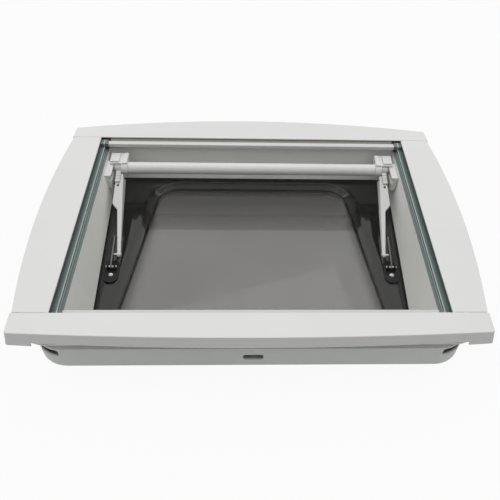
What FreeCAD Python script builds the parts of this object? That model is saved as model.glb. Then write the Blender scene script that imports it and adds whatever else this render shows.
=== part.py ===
import FreeCAD, Part
import math
import os
import Sketcher
from FreeCAD import Placement, Rotation, Vector

# A camper roof hatch in millimetres, lying on its dome with the interior side up.
# X runs along the long side, +Y to the handle side, -Y to the hinge side, +Z into the vehicle.
# The origin is under the middle of the part, on the plane that the dome's plateau rests on.

# Each driving dimension: its alias in the sheet, its value and what it measures.
DIMENSIONS = [
    ("opening_length", 650, "clear opening along X at the trim face"),
    ("opening_width", 464, "clear opening along Y at the trim face"),
    ("cutout_length", 700, "roof cut-out along X"),
    ("cutout_width", 500, "roof cut-out along Y"),
    ("trim_depth", 34, "trim face to the mounting flange"),
    ("roof_thickness", 18, "roof panel between flange and outer frame"),
    ("frame_depth", 50, "outer frame outside the roof panel"),
    ("seal_thickness", 3, "compressed dome seal"),
    ("dome_height", 42.5, "dome rim to its plateau"),
    ("cover_wall", 3, "wall of the trim covers"),
    ("cover_reach", 54, "long cover's width in its middle"),
    ("cover_corner_reach", 37, "long cover's width at its ends"),
    ("cover_half_length", 385, "half length of the long covers"),
    ("side_bow", 15, "side covers' outer edge beyond the long covers' ends"),
    ("side_step", 2.5, "step in at the seams between side and long covers"),
    ("lip_width", 8, "lip of the side covers beside the opening"),
    ("lip_drop", 1, "lip's edge below the trim face"),
    ("crown_rise", 8, "rise of the long cover's outer edge in its middle"),
    ("corner_drop", 3, "drop of the long cover's outer edge at its ends"),
    ("skirt_gap", 6, "skirt's lower edge above the mounting flange"),
    ("skirt_rise", 6, "rise of the long skirts' lower edge in the middle"),
    ("pad_length", 34, "corner pad of the skirt along X"),
    ("seam_gap", 0.3, "joint between two covers"),
    ("cover_corner_radius", 4, "plan radius of the trim's corners"),
    ("edge_radius", 2, "rounded outer edge of the covers"),
    ("boss_radius", 4, "feet of the covers on the flange"),
    ("flange_thickness", 2.5, "inner frame's flange"),
    ("flange_half_length", 372, "flange along X"),
    ("flange_half_width", 270, "flange along Y"),
    ("flange_corner_radius", 40, "flange corners"),
    ("guide_reach", 14, "guide rail's projection into the opening"),
    ("guide_width", 22, "guide rail across"),
    ("guide_length", 524, "guide rail along Y"),
    ("guide_wall", 2, "walls of the guide rails"),
    ("guide_lift", 10, "guide rails above the flange, on the neck's upper edge"),
    ("guide_step", 6.5, "blackout groove's lower wall set back from the guide's edge"),
    ("guide_drop", 3.5, "guide rail's top below the trim face"),
    ("blackout_groove", 8.7, "height of the blackout blind's groove"),
    ("flyscreen_groove", 6, "height of the flyscreen's groove"),
    ("neck_wall", 3, "wall of the inner frame's neck"),
    ("neck_depth", 63.5, "neck below the flange"),
    ("neck_lean_long", 16, "how far the long walls lean in"),
    ("neck_lean_front", 25, "lean of the short walls at the hinge side"),
    ("neck_lean_back", 3, "lean of the short walls at the handle side"),
    ("frame_border", 16, "outer frame beyond the roof cut-out"),
    ("frame_wall", 3, "walls of the outer frame"),
    ("frame_corner_radius", 55, "outer frame's corners"),
    ("upstand_height", 14, "outer frame's upstand inside the roof cut-out"),
    ("cutout_clearance", 4, "upstand to the edge of the cut-out"),
    ("upstand_corner_radius", 35, "corners of the upstand"),
    ("ledge_half_length", 314, "inner edge of the seal ledge along X"),
    ("ledge_half_width", 228, "inner edge of the seal ledge along Y"),
    ("slot_length", 34, "centre slot in the outer frame"),
    ("slot_height", 13, "height of the slots"),
    ("corner_slot_length", 30, "slots round the outer frame's corners, along X"),
    ("corner_slot_rise", 14, "corner slots above the centre slot"),
    ("rim_half_length", 350, "dome rim along X"),
    ("rim_front", 246, "dome rim towards the hinges"),
    ("rim_back", 254, "dome rim towards the handle"),
    ("rim_corner_radius", 45, "corners of the dome rim"),
    ("skin_thickness", 2.5, "each acrylic skin"),
    ("tray_depth", 16, "inner skin's tray below the rim"),
    ("tray_step", 27, "sloping wall of the tray in plan, at the sides"),
    ("tray_end_step", 17, "sloping wall of the tray in plan, at the ends"),
    ("tray_front", 215, "tray's edge towards the hinges"),
    ("tray_back", 212, "tray's edge towards the handle"),
    ("tray_front_half", 277, "half length of the tray's front edge"),
    ("tray_back_half", 224, "half length of the tray's back edge"),
    ("tray_corner_radius", 60, "corners of the tray"),
    ("shell_half_length", 331, "dome shell at the rim along X"),
    ("shell_front", 227, "dome shell at the rim towards the hinges"),
    ("shell_back", 235, "dome shell at the rim towards the handle"),
    ("shell_step", 42, "sloping wall of the shell in plan"),
    ("shell_corner_radius", 70, "corners of the shell"),
    ("shell_edge_radius", 2, "rounded edge of the plateau"),
    ("seal_width", 10, "dome seal across"),
    ("seal_inset", 6, "seal inside the dome rim's edge"),
    ("hinge_offset", 8, "hinge axis in front of the dome rim"),
    ("hinge_drop", 6, "hinge axis below the outer frame"),
    ("hinge_spacing", 400, "distance between the hinges"),
    ("hinge_length", 60, "length of each hinge"),
    ("knuckle_radius", 3.8, "hinge knuckles"),
    ("knuckle_gap", 0.5, "play between knuckles"),
    ("hinge_pin_radius", 1.8, "hinge pins"),
    ("leaf_thickness", 2, "hinge leaves"),
    ("pin_play", 0.05, "running clearance of a pin in its hole"),
    ("bracket_centre", 274, "bracket from the middle along X"),
    ("bracket_pin_front", 51, "arm's lower pin in front of the middle"),
    ("bracket_base_front", 58, "bracket's base in front of the middle"),
    ("bracket_length", 56, "bracket's base along Y"),
    ("bracket_width", 30, "bracket's base along X"),
    ("bracket_thickness", 2.5, "bracket's base plate"),
    ("pad_thickness", 1, "rubber pad under the bracket"),
    ("bracket_pin_height", 9, "lower pin above the dome rim"),
    ("bracket_pin_radius", 2.5, "lower pin"),
    ("bracket_pin_length", 21, "lower pin"),
    ("ear_thickness", 3, "bracket's ears"),
    ("ear_span", 10, "between the bracket's ears"),
    ("ear_radius", 6, "round top of the ears"),
    ("bracket_screw_front", 15, "bracket's screw in front of the lower pin"),
    ("bracket_screw_radius", 5, "domed head of the bracket's screw"),
    ("handle_back", 178, "handle tube behind the middle"),
    ("handle_drop", 40, "handle tube below the trim face"),
    ("tube_radius", 12.5, "handle tube"),
    ("tube_wall", 1.5, "handle tube's wall"),
    ("tube_half_length", 265, "half length of the handle tube"),
    ("cap_radius", 14, "end block's round cap"),
    ("cap_width", 13.5, "end block's cap along X"),
    ("head_width", 37.5, "end block's head beyond the tube along X"),
    ("head_back", 32, "head behind the tube's axis"),
    ("head_front", 2, "head in front of the tube's axis"),
    ("head_height", 4.5, "head's plate above the arm's eye"),
    ("head_rib", 3, "head's rib and lock button above its plate"),
    ("head_rib_width", 11, "head's rib along X"),
    ("button_gap", 6, "lock button's travel and clearance beside the rib"),
    ("lever_height", 10, "web under the head"),
    ("stub_radius", 5, "pivot stub of the end block"),
    ("peg_radius", 4, "peg in the catch"),
    ("peg_length", 5, "peg beyond the pivot clip"),
    ("eye_width", 13.5, "arm's upper eye along X"),
    ("eye_radius", 9, "arm's upper eye"),
    ("clip_thickness", 1.2, "pivot clip"),
    ("arm_thickness", 4, "arm's plate"),
    ("arm_rib", 6, "ribs under the arm's wide part"),
    ("root_length", 26, "ribbed root of the arm beside its eye"),
    ("root_height", 7, "ribbed root above the arm's middle"),
    ("root_groove", 3, "grooves between the root's ribs"),
    ("link_thickness", 2.5, "steel link along X"),
    ("link_length", 69, "steel link"),
    ("link_radius", 5, "steel link's round ends"),
    ("rivet_distance", 26.6, "rivet from the lower pin"),
    ("rivet_radius", 2.4, "rivet's shank"),
    ("catch_face", 295.5, "catch's face from the middle"),
    ("catch_front", 38, "catch in front of the peg"),
    ("catch_back", 10.5, "catch behind the peg"),
    ("catch_height", 33, "catch housing"),
    ("catch_top", 9, "catch's top above the peg's axis"),
    ("channel_height", 11.5, "channel for the peg"),
    ("channel_depth", 5, "channel into the catch"),
    ("rail_width", 17, "blinds' end rails across"),
    ("slider_length", 21, "slider beyond the end rail"),
    ("blind_play", 0.3, "sliders in their grooves"),
    ("pack_depth", 26, "folded pleats along Y"),
    ("bar_width", 3, "anchor bars"),
    ("pleat_sheet", 1.6, "pleated sheet, measured upright through a slanting fold"),
    ("screw_radius", 2, "clamp screws"),
    ("screw_head_radius", 3.5, "clamp screw heads"),
    ("screw_inset", 11, "clamp screws inside the cut-out's edge"),
    ("small_screw_radius", 1.5, "screws of the hinges and catches"),
    ("small_head_radius", 2.8, "heads of the small screws"),
    ("small_head_height", 1.6, "height of the small heads"),
]

PLEATS = 8
CLAMP_SCREW_ROWS = (-190, -70, 70, 190)

doc = FreeCAD.newDocument("RoofHatch")
sheet = doc.addObject("Spreadsheet::Sheet", "Sizes")
nodes = []


class Size:
    """A length that keeps its number and the sheet formula that gives it."""

    def __init__(self, number, formula):
        self.number = number
        self.formula = formula

    def __float__(self):
        return float(self.number)

    def joined(self, other, sign, number):
        formula = other.formula if isinstance(other, Size) else repr(float(other))
        return Size(number, f"({self.formula} {sign} {formula})")

    def __add__(self, other):
        return self.joined(other, "+", self.number + float(other))

    def __sub__(self, other):
        return self.joined(other, "-", self.number - float(other))

    def __mul__(self, other):
        return self.joined(other, "*", self.number * float(other))

    def __truediv__(self, other):
        return self.joined(other, "/", self.number / float(other))

    def __neg__(self):
        return Size(-self.number, f"(0 - {self.formula})")


class Sizes:
    """All driving dimensions by name."""


for row, (alias, number, meaning) in enumerate(DIMENSIONS, 1):
    sheet.set(f"A{row}", alias)
    sheet.set(f"B{row}", str(number))
    sheet.setAlias(f"B{row}", alias)
    sheet.set(f"C{row}", meaning)
    setattr(Sizes, alias, Size(number, f"Sizes.{alias}"))
doc.recompute()

s = Sizes
ZERO = s.opening_length * 0

# Levels above the resting plane.
rim_top = s.dome_height
frame_bottom = rim_top + s.seal_thickness
roof_outside = frame_bottom + s.frame_depth
ceiling = roof_outside + s.roof_thickness
flange_top = ceiling + s.flange_thickness
face = flange_top + s.trim_depth
rim_bottom = rim_top - s.skin_thickness
bond = rim_bottom - s.skin_thickness

# Places that several pieces share.
opening_x = s.opening_length / 2
opening_y = s.opening_width / 2
guide_edge = opening_x - s.guide_reach
guide_outside = guide_edge + s.guide_width
guide_top = face - s.guide_drop
guide_bottom = flange_top + s.guide_lift
rib_bottom = guide_bottom + s.guide_wall + s.flyscreen_groove
rib_top = rib_bottom + s.guide_wall
cutout_x = s.cutout_length / 2
cutout_y = s.cutout_width / 2
frame_x = cutout_x + s.frame_border
frame_y = cutout_y + s.frame_border
upstand_x = cutout_x - s.cutout_clearance
upstand_y = cutout_y - s.cutout_clearance
hinge_y = -(s.rim_front + s.hinge_offset)
hinge_z = frame_bottom - s.hinge_drop
handle_z = face - s.handle_drop
pin_z = rim_top + s.bracket_pin_height
base_top = rim_top + s.pad_thickness + s.bracket_thickness
arm_run = s.handle_back + s.bracket_pin_front
arm_rise = handle_z - pin_z
arm_length = Size(
    math.hypot(arm_run.number, arm_rise.number),
    f"sqrt({arm_run.formula} ^ 2 + {arm_rise.formula} ^ 2)",
)
arm_angle = Size(
    math.degrees(math.atan2(arm_rise.number, arm_run.number)),
    f"atan2({arm_rise.formula}; {arm_run.formula})",
)
eye_start = s.tube_half_length + s.cap_width + 0.5
eye_end = eye_start + s.eye_width
clip_start = eye_end + 0.2
clip_end = clip_start + s.clip_thickness
catch_top = handle_z + s.catch_top
catch_bottom = catch_top - s.catch_height
catch_end = s.handle_back + s.catch_back
catch_start = s.handle_back - s.catch_front
leaf_screw_y = -(frame_y - 5)
leaf_screw_spread = s.hinge_length * 0.33
dome_screw_y = -(s.rim_front - 8)


def bind(owner, name, size):
    """Set a property from a size and tie it to the sheet."""
    if isinstance(size, Size):
        owner.setExpression(name, size.formula)
    else:
        setattr(owner, name, size)


def keep(item, label):
    """Name a finished sub-part and list it for writing."""
    item.Label = label
    nodes.append(item)
    return item


def new_body(name):
    return doc.addObject("PartDesign::Body", name)


def new_sketch(body, role, offset):
    """An empty sketch on one of the body's origin planes, moved along the plane's normal."""
    plane = [item for item in body.Origin.OriginFeatures if item.Role == role][0]
    sketch = body.newObject("Sketcher::SketchObject", "Sketch")
    sketch.AttachmentSupport = [(plane, "")]
    sketch.MapMode = "FlatFace"
    sketch.AttachmentOffset = Placement(Vector(0, 0, float(offset)), Rotation())
    sketch.setExpression(".AttachmentOffset.Base.z", offset.formula)
    return sketch


def set_point(sketch, line, across, up):
    """Tie a line's first point to the sheet, measured from the sketch's origin."""
    for kind, size in (("DistanceX", across), ("DistanceY", up)):
        index = sketch.addConstraint(Sketcher.Constraint(kind, -1, 1, line, 1, float(size)))
        name = f"{kind}_{line}"
        sketch.renameConstraint(index, name)
        sketch.setExpression(f"Constraints.{name}", size.formula)


def polygon(body, role, offset, corners):
    """A sketch of straight lines through the corners."""
    sketch = new_sketch(body, role, offset)
    points = [Vector(float(across), float(up), 0) for across, up in corners]
    count = len(points)
    for index in range(count):
        line = Part.LineSegment(points[index], points[(index + 1) % count])
        sketch.addGeometry(line, False)
    for index in range(count):
        joint = Sketcher.Constraint("Coincident", index, 2, (index + 1) % count, 1)
        sketch.addConstraint(joint)
    for index, (across, up) in enumerate(corners):
        set_point(sketch, index, across, up)
    return sketch


def rectangle(body, role, offset, left, right, low, high):
    return polygon(body, role, offset, [(left, low), (right, low), (right, high), (left, high)])


def add_rounded_loop(sketch, left, right, low, high, radius):
    """Add a rectangle with round corners to a sketch, each line tied to the sheet."""
    first = sketch.GeometryCount
    x0, x1, y0, y1, r = (float(size) for size in (left, right, low, high, radius))
    lines = [
        ((x0 + r, y0), (x1 - r, y0)),
        ((x1, y0 + r), (x1, y1 - r)),
        ((x1 - r, y1), (x0 + r, y1)),
        ((x0, y1 - r), (x0, y0 + r)),
    ]
    centres = [(x1 - r, y0 + r), (x1 - r, y1 - r), (x0 + r, y1 - r), (x0 + r, y0 + r)]
    for side in range(4):
        start, end = lines[side]
        sketch.addGeometry(Part.LineSegment(Vector(*start, 0), Vector(*end, 0)), False)
        circle = Part.Circle(Vector(*centres[side], 0), Vector(0, 0, 1), r)
        turn = math.radians(90 * (side - 1))
        sketch.addGeometry(Part.ArcOfCircle(circle, turn, turn + math.pi / 2), False)
    for side in range(4):
        line = first + 2 * side
        after = first + (2 * side + 2) % 8
        sketch.addConstraint(Sketcher.Constraint("Tangent", line, 2, line + 1, 1))
        sketch.addConstraint(Sketcher.Constraint("Tangent", line + 1, 2, after, 1))
        flat = "Horizontal" if side % 2 == 0 else "Vertical"
        sketch.addConstraint(Sketcher.Constraint(flat, line))
        if side:
            sketch.addConstraint(Sketcher.Constraint("Equal", first + 1, line + 1))
    ties = [
        ("DistanceY", first, low),
        ("DistanceX", first + 2, right),
        ("DistanceY", first + 4, high),
        ("DistanceX", first + 6, left),
    ]
    for kind, line, size in ties:
        index = sketch.addConstraint(Sketcher.Constraint(kind, -1, 1, line, 1, float(size)))
        sketch.renameConstraint(index, f"{kind}_{line}")
        sketch.setExpression(f"Constraints.{kind}_{line}", size.formula)
    index = sketch.addConstraint(Sketcher.Constraint("Radius", first + 1, r))
    sketch.renameConstraint(index, f"Radius_{first}")
    sketch.setExpression(f"Constraints.Radius_{first}", radius.formula)


def rounded(body, role, offset, left, right, low, high, radius):
    sketch = new_sketch(body, role, offset)
    add_rounded_loop(sketch, left, right, low, high, radius)
    return sketch


def circles(body, role, offset, centres, radius):
    """A sketch of equal circles."""
    sketch = new_sketch(body, role, offset)
    for index, (across, up) in enumerate(centres):
        centre = Vector(float(across), float(up), 0)
        sketch.addGeometry(Part.Circle(centre, Vector(0, 0, 1), float(radius)), False)
        for kind, size in (("DistanceX", across), ("DistanceY", up)):
            tie = Sketcher.Constraint(kind, -1, 1, index, 3, float(size))
            place = sketch.addConstraint(tie)
            sketch.renameConstraint(place, f"{kind}_{index}")
            sketch.setExpression(f"Constraints.{kind}_{index}", size.formula)
        place = sketch.addConstraint(Sketcher.Constraint("Radius", index, float(radius)))
        sketch.renameConstraint(place, f"Radius_{index}")
        sketch.setExpression(f"Constraints.Radius_{index}", radius.formula)
    return sketch


def pad(body, sketch, length):
    """Grow a sketch along its plane's normal."""
    feature = body.newObject("PartDesign::Pad", "Pad")
    feature.Profile = sketch
    bind(feature, "Length", length)
    return feature


def pocket(body, sketch, depth):
    """Cut a sketch against its plane's normal and make sure that it removes something."""
    doc.recompute()
    before = body.Shape.copy()
    feature = body.newObject("PartDesign::Pocket", "Pocket")
    feature.Profile = sketch
    bind(feature, "Length", depth)
    doc.recompute()
    if body.Shape.Volume >= before.Volume and len(body.Shape.Faces) <= len(before.Faces):
        raise ValueError(f"{body.Label}: a pocket removes nothing")
    return feature


def loft(body, sections, kind="PartDesign::AdditiveLoft"):
    feature = body.newObject(kind, "Loft")
    feature.Profile = sections[0]
    feature.Sections = sections[1:]
    return feature


def fillet(body, wanted, radius):
    """Round the edges of the body's last feature that the test accepts."""
    doc.recompute()
    base = body.Tip
    names = [f"Edge{i}" for i, edge in enumerate(base.Shape.Edges, 1) if wanted(edge)]
    if not names:
        raise ValueError(f"{body.Label}: no edge to round")
    feature = body.newObject("PartDesign::Fillet", "Fillet")
    feature.Base = (base, names)
    bind(feature, "Radius", radius)
    return feature


def height_of(edge):
    return edge.BoundBox.ZMax - edge.BoundBox.ZMin


def cylinder(radius, length, place, turn):
    """A round primitive whose first end centre and sizes are tied to the sheet."""
    item = doc.addObject("Part::Cylinder", "Cylinder")
    bind(item, "Radius", radius)
    bind(item, "Height", length)
    item.Placement = Placement(Vector(), turn)
    for axis, size in zip("xyz", place):
        item.setExpression(f"Placement.Base.{axis}", size.formula)
    return item


def fuse(parts):
    item = doc.addObject("Part::MultiFuse", "Fusion")
    item.Shapes = parts
    return item


def cut(base, tool):
    item = doc.addObject("Part::Cut", "Cut")
    item.Base = base
    item.Tool = tool
    return item


def group(parts):
    item = doc.addObject("Part::Compound", "Group")
    item.Links = parts
    return item


UPRIGHT = Rotation()
ALONG_X = Rotation(Vector(0, 1, 0), 90)
SIDES = (("left", -1), ("right", 1))


def build_inner_frame():
    """Flange on the ceiling and a neck that leans in through the roof."""
    body = new_body("InnerFrame")
    half_x = s.flange_half_length
    half_y = s.flange_half_width
    outline = rounded(body, "XY_Plane", ceiling, -half_x, half_x, -half_y, half_y, s.flange_corner_radius)
    pad(body, outline, s.flange_thickness)
    neck_bottom = ceiling - s.neck_depth
    wall_x = guide_edge
    front = opening_y - s.neck_lean_long
    for kind, wall in (("PartDesign::AdditiveLoft", s.neck_wall), ("PartDesign::SubtractiveLoft", ZERO)):
        top = rectangle(
            body, "XY_Plane", guide_bottom, -(wall_x + wall), wall_x + wall, -(opening_y + wall), opening_y + wall
        )
        front_half = wall_x - s.neck_lean_front + wall
        back_half = wall_x - s.neck_lean_back + wall
        end = front + wall
        corners = [(-front_half, -end), (front_half, -end), (back_half, end), (-back_half, end)]
        loft(body, [top, polygon(body, "XY_Plane", neck_bottom, corners)], kind)
    screw_x = cutout_x - s.screw_inset
    places = [(side * 1, ZERO + row) for side in (-screw_x, screw_x) for row in CLAMP_SCREW_ROWS]
    holes = circles(body, "XY_Plane", flange_top, places, s.screw_radius + 0.2)
    pocket(body, holes, s.flange_thickness)
    reach = guide_edge + 5 - s.catch_face
    for plane in (guide_edge + 5, -s.catch_face):
        pocket(body, circles(body, "YZ_Plane", plane, catch_screws(), s.small_screw_radius), reach)
    keep(body, "inner_frame")


def build_outer_frame():
    """Hollow frame outside the roof with an upstand in the cut-out and a ledge for the seal."""
    body = new_body("OuterFrame")
    wall = s.frame_wall
    outline = rounded(
        body, "XY_Plane", frame_bottom, -frame_x, frame_x, -frame_y, frame_y, s.frame_corner_radius
    )
    pad(body, outline, s.frame_depth)
    upstand = rounded(
        body, "XY_Plane", roof_outside, -upstand_x, upstand_x, -upstand_y, upstand_y, s.upstand_corner_radius
    )
    pad(body, upstand, s.upstand_height)
    inner_x = upstand_x - wall
    inner_y = upstand_y - wall
    shaft = rounded(
        body, "XY_Plane", roof_outside + s.upstand_height, -inner_x, inner_x, -inner_y, inner_y,
        s.upstand_corner_radius - wall,
    )
    pocket(body, shaft, s.upstand_height + s.frame_depth - wall)
    ledge = rounded(
        body, "XY_Plane", frame_bottom + wall, -s.ledge_half_length, s.ledge_half_length,
        -s.ledge_half_width, s.ledge_half_width, s.upstand_corner_radius - wall,
    )
    pocket(body, ledge, wall)
    cavity = new_sketch(body, "XY_Plane", roof_outside - wall)
    add_rounded_loop(
        cavity, -(frame_x - wall), frame_x - wall, -(frame_y - wall), frame_y - wall,
        s.frame_corner_radius - wall,
    )
    add_rounded_loop(cavity, -upstand_x, upstand_x, -upstand_y, upstand_y, s.upstand_corner_radius)
    pocket(body, cavity, s.frame_depth - wall * 2)
    slot_low = roof_outside - s.slot_height * 2.4
    slot_high = slot_low + s.slot_height
    half = s.slot_length / 2
    centre_slot = rounded(body, "XZ_Plane", frame_y + 1, -half, half, slot_low, slot_high, s.slot_height / 3)
    pocket(body, centre_slot, wall + 2)
    corner_low = slot_low + s.corner_slot_rise
    corner_high = corner_low + s.slot_height
    near = frame_x - s.frame_corner_radius + 7
    far = near + s.corner_slot_length
    reach = s.frame_border + s.cutout_clearance + 0.5
    for plane in (frame_y + 1, reach - frame_y - 1):
        for left, right in ((-far, -near), (near, far)):
            slot = rounded(body, "XZ_Plane", plane, left, right, corner_low, corner_high, s.slot_height / 3)
            pocket(body, slot, reach)
    screw_x = cutout_x - s.screw_inset
    boss_bottom = frame_bottom + wall
    boss_height = s.frame_depth - wall + s.upstand_height
    places = [(side * 1, ZERO + row) for side in (-screw_x, screw_x) for row in CLAMP_SCREW_ROWS]
    pad(body, circles(body, "XY_Plane", boss_bottom, places, s.screw_radius + 3), boss_height)
    top = roof_outside + s.upstand_height
    pocket(body, circles(body, "XY_Plane", top, places, s.screw_radius), ZERO + 20)
    leaf_holes = circles(body, "XY_Plane", boss_bottom, leaf_screws(leaf_screw_y), s.small_screw_radius)
    pocket(body, leaf_holes, wall)
    keep(body, "outer_frame")


def leaf_screws(along):
    """Centres of the four screws in a row of hinge leaves."""
    centres = []
    for _, side in SIDES:
        centre = s.hinge_spacing / 2 * side
        centres += [(centre - leaf_screw_spread, along), (centre + leaf_screw_spread, along)]
    return centres


def cover_outline(body, offset):
    """Plan of a long cover: straight inner edge, bowed outer edge and round corners."""
    sketch = new_sketch(body, "XY_Plane", offset)
    half = s.cover_half_length
    bow = s.cover_reach - s.cover_corner_reach
    sweep = (half * half + bow * bow) / (bow * 2)
    centre_y = opening_y + s.cover_reach - sweep
    corner = s.cover_corner_radius
    x, y, big, low, r = (float(size) for size in (half, centre_y, sweep, opening_y, corner))
    rise = math.sqrt((big - r) ** 2 - (x - r) ** 2)
    lean = math.atan2(rise, x - r)
    end_y = y + rise
    up = Vector(0, 0, 1)
    sketch.addGeometry(Part.LineSegment(Vector(-x, low, 0), Vector(x, low, 0)), False)
    sketch.addGeometry(Part.LineSegment(Vector(x, low, 0), Vector(x, end_y, 0)), False)
    circle = Part.Circle(Vector(x - r, end_y, 0), up, r)
    sketch.addGeometry(Part.ArcOfCircle(circle, 0, lean), False)
    circle = Part.Circle(Vector(0, y, 0), up, big)
    sketch.addGeometry(Part.ArcOfCircle(circle, lean, math.pi - lean), False)
    circle = Part.Circle(Vector(r - x, end_y, 0), up, r)
    sketch.addGeometry(Part.ArcOfCircle(circle, math.pi - lean, math.pi), False)
    sketch.addGeometry(Part.LineSegment(Vector(-x, end_y, 0), Vector(-x, low, 0)), False)
    ties = [("Coincident", 0, 2, 1, 1), ("Coincident", 5, 2, 0, 1)]
    ties += [("Tangent", line, 2, line + 1, 1) for line in range(1, 5)]
    ties += [("Vertical", 1), ("Vertical", 5), ("Equal", 2, 4)]
    for tie in ties:
        sketch.addConstraint(Sketcher.Constraint(*tie))
    set_point(sketch, 0, -half, opening_y)
    set_point(sketch, 1, half, opening_y)
    sizes = [("DistanceX", (-1, 1, 3, 3), ZERO), ("DistanceY", (-1, 1, 3, 3), centre_y)]
    sizes += [("Radius", (3,), sweep), ("Radius", (2,), corner)]
    for number, (kind, places, size) in enumerate(sizes):
        index = sketch.addConstraint(Sketcher.Constraint(kind, *places, float(size)))
        sketch.renameConstraint(index, f"Bow_{number}")
        sketch.setExpression(f"Constraints.Bow_{number}", size.formula)
    return sketch


def arched_relief(body, plane, half):
    """Space under a long skirt between its pads, with an arched upper edge."""
    sketch = new_sketch(body, "XZ_Plane", -plane)
    low = ceiling - 1
    spring = flange_top + s.skirt_gap
    sweep = (half * half + s.skirt_rise * s.skirt_rise) / (s.skirt_rise * 2)
    centre_z = spring + s.skirt_rise - sweep
    x, z0, z1, z, big = (float(size) for size in (half, low, spring, centre_z, sweep))
    lean = math.atan2(z1 - z, x)
    sketch.addGeometry(Part.LineSegment(Vector(-x, z0, 0), Vector(x, z0, 0)), False)
    sketch.addGeometry(Part.LineSegment(Vector(x, z0, 0), Vector(x, z1, 0)), False)
    circle = Part.Circle(Vector(0, z, 0), Vector(0, 0, 1), big)
    sketch.addGeometry(Part.ArcOfCircle(circle, lean, math.pi - lean), False)
    sketch.addGeometry(Part.LineSegment(Vector(-x, z1, 0), Vector(-x, z0, 0)), False)
    ties = [("Coincident", 0, 2, 1, 1), ("Coincident", 1, 2, 2, 1), ("Coincident", 2, 2, 3, 1)]
    ties += [("Coincident", 3, 2, 0, 1), ("Vertical", 1), ("Vertical", 3)]
    for tie in ties:
        sketch.addConstraint(Sketcher.Constraint(*tie))
    set_point(sketch, 0, -half, low)
    set_point(sketch, 1, half, low)
    sizes = [("DistanceY", (-1, 1, 1, 2), spring), ("DistanceX", (-1, 1, 2, 3), ZERO), ("Radius", (2,), sweep)]
    for number, (kind, places, size) in enumerate(sizes):
        index = sketch.addConstraint(Sketcher.Constraint(kind, *places, float(size)))
        sketch.renameConstraint(index, f"Arch_{number}")
        sketch.setExpression(f"Constraints.Arch_{number}", size.formula)
    return sketch


def build_long_cover(label, turn):
    """Crowned trim cover over the folded pleats, drawn at the back and turned to its side."""
    body = new_body("LongCover")
    half = s.cover_half_length
    wall = s.cover_wall
    middle_y = opening_y + s.cover_reach
    end_y = opening_y + s.cover_corner_reach
    above = face + s.crown_rise + 5
    pad(body, cover_outline(body, ceiling), above - ceiling)

    def stations(reach, shrink, overrun, lid, inner_y):
        sketches = []
        for across in (-reach, ZERO, reach):
            at_end = across.number != 0
            outer_y = (end_y if at_end else middle_y) + overrun
            outer_z = (face - s.corner_drop if at_end else face + s.crown_rise) - shrink
            corners = [(inner_y, face - shrink), (outer_y, outer_z), (outer_y, lid), (inner_y, lid)]
            sketches.append(polygon(body, "YZ_Plane", across, corners))
        return sketches

    loft(body, stations(half + 2, ZERO, ZERO + 1, above + 2, opening_y - 1), "PartDesign::SubtractiveLoft")
    hollow = stations(half - wall * 2, wall, -wall, ceiling - 2, opening_y - 2)
    loft(body, hollow, "PartDesign::SubtractiveLoft")
    relief = arched_relief(body, opening_y - 5, half - s.pad_length)
    pocket(body, relief, s.cover_reach + 10)
    foot_x = (half + guide_outside) / 2 - 5
    feet = circles(body, "XY_Plane", flange_top, [(-foot_x, cutout_y), (foot_x, cutout_y)], s.boss_radius)
    pad(body, feet, s.trim_depth - 1)
    foot_y = s.flange_half_width - s.boss_radius
    rise = s.crown_rise * (foot_y - opening_y) / s.cover_reach
    foot = circles(body, "XY_Plane", flange_top, [(ZERO, foot_y)], s.boss_radius)
    pad(body, foot, s.trim_depth - 1 + rise)
    body.Placement = Placement(Vector(), Rotation(Vector(0, 0, 1), turn))
    keep(body, label)


def build_side_cover(label, side):
    """Flat trim cover over a guide rail with a bowed outer edge."""
    body = new_body("SideCover")
    end = opening_y - s.seam_gap
    skirt_bottom = flange_top + s.skirt_gap

    def sections(shrink, inner_x, bottom, lip):
        stations = []
        for along in (-end, ZERO, end):
            middle_x = s.cover_half_length + s.side_bow
            end_x = s.cover_half_length - s.side_step
            outer_x = (middle_x if along.number == 0 else end_x) - shrink
            corners = [
                (inner_x * side, bottom),
                (inner_x * side, face - shrink - lip),
                ((inner_x + s.lip_width) * side, face - shrink),
                (outer_x * side, face - shrink),
                (outer_x * side, bottom),
            ]
            stations.append(polygon(body, "XZ_Plane", along, corners))
        return stations

    loft(body, sections(ZERO, opening_x, skirt_bottom, s.lip_drop))

    def is_outer_edge(edge):
        box = edge.BoundBox
        outside = abs(box.Center.x) > float(opening_x + s.lip_width) + 1
        return box.ZMin > float(face) - 0.01 and box.YLength > float(opening_y) and outside

    fillet(body, is_outer_edge, s.edge_radius)
    hollow = sections(s.cover_wall, opening_x - 2, skirt_bottom - 2, ZERO)
    loft(body, hollow, "PartDesign::SubtractiveLoft")
    foot_x = ((s.cover_half_length + guide_outside) / 2 - 5) * side
    rows = (-(opening_y / 2), ZERO, opening_y / 2)
    feet = circles(body, "XY_Plane", flange_top, [(foot_x, row) for row in rows], s.boss_radius)
    pad(body, feet, s.trim_depth - 1)
    keep(body, label)


def build_guide_rail(label, side):
    """Extruded rail with the blackout blind's groove above the flyscreen's."""
    body = new_body("GuideRail")
    wall = s.guide_wall
    back = guide_outside - wall
    rib_edge = guide_edge + s.guide_step
    profile = [
        (guide_outside, flange_top),
        (guide_outside, guide_top),
        (opening_x, guide_top),
        (opening_x, rib_top + s.blackout_groove),
        (back, rib_top + s.blackout_groove),
        (back, rib_top),
        (rib_edge, rib_top),
        (rib_edge, rib_bottom),
        (back, rib_bottom),
        (back, guide_bottom + wall),
        (guide_edge, guide_bottom + wall),
        (guide_edge, guide_bottom),
        (back, guide_bottom),
        (back, flange_top),
    ]
    corners = [(across * side, up) for across, up in profile]
    sketch = polygon(body, "XZ_Plane", -(s.guide_length / 2), corners)
    pad(body, sketch, s.guide_length)
    keep(body, label)


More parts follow.
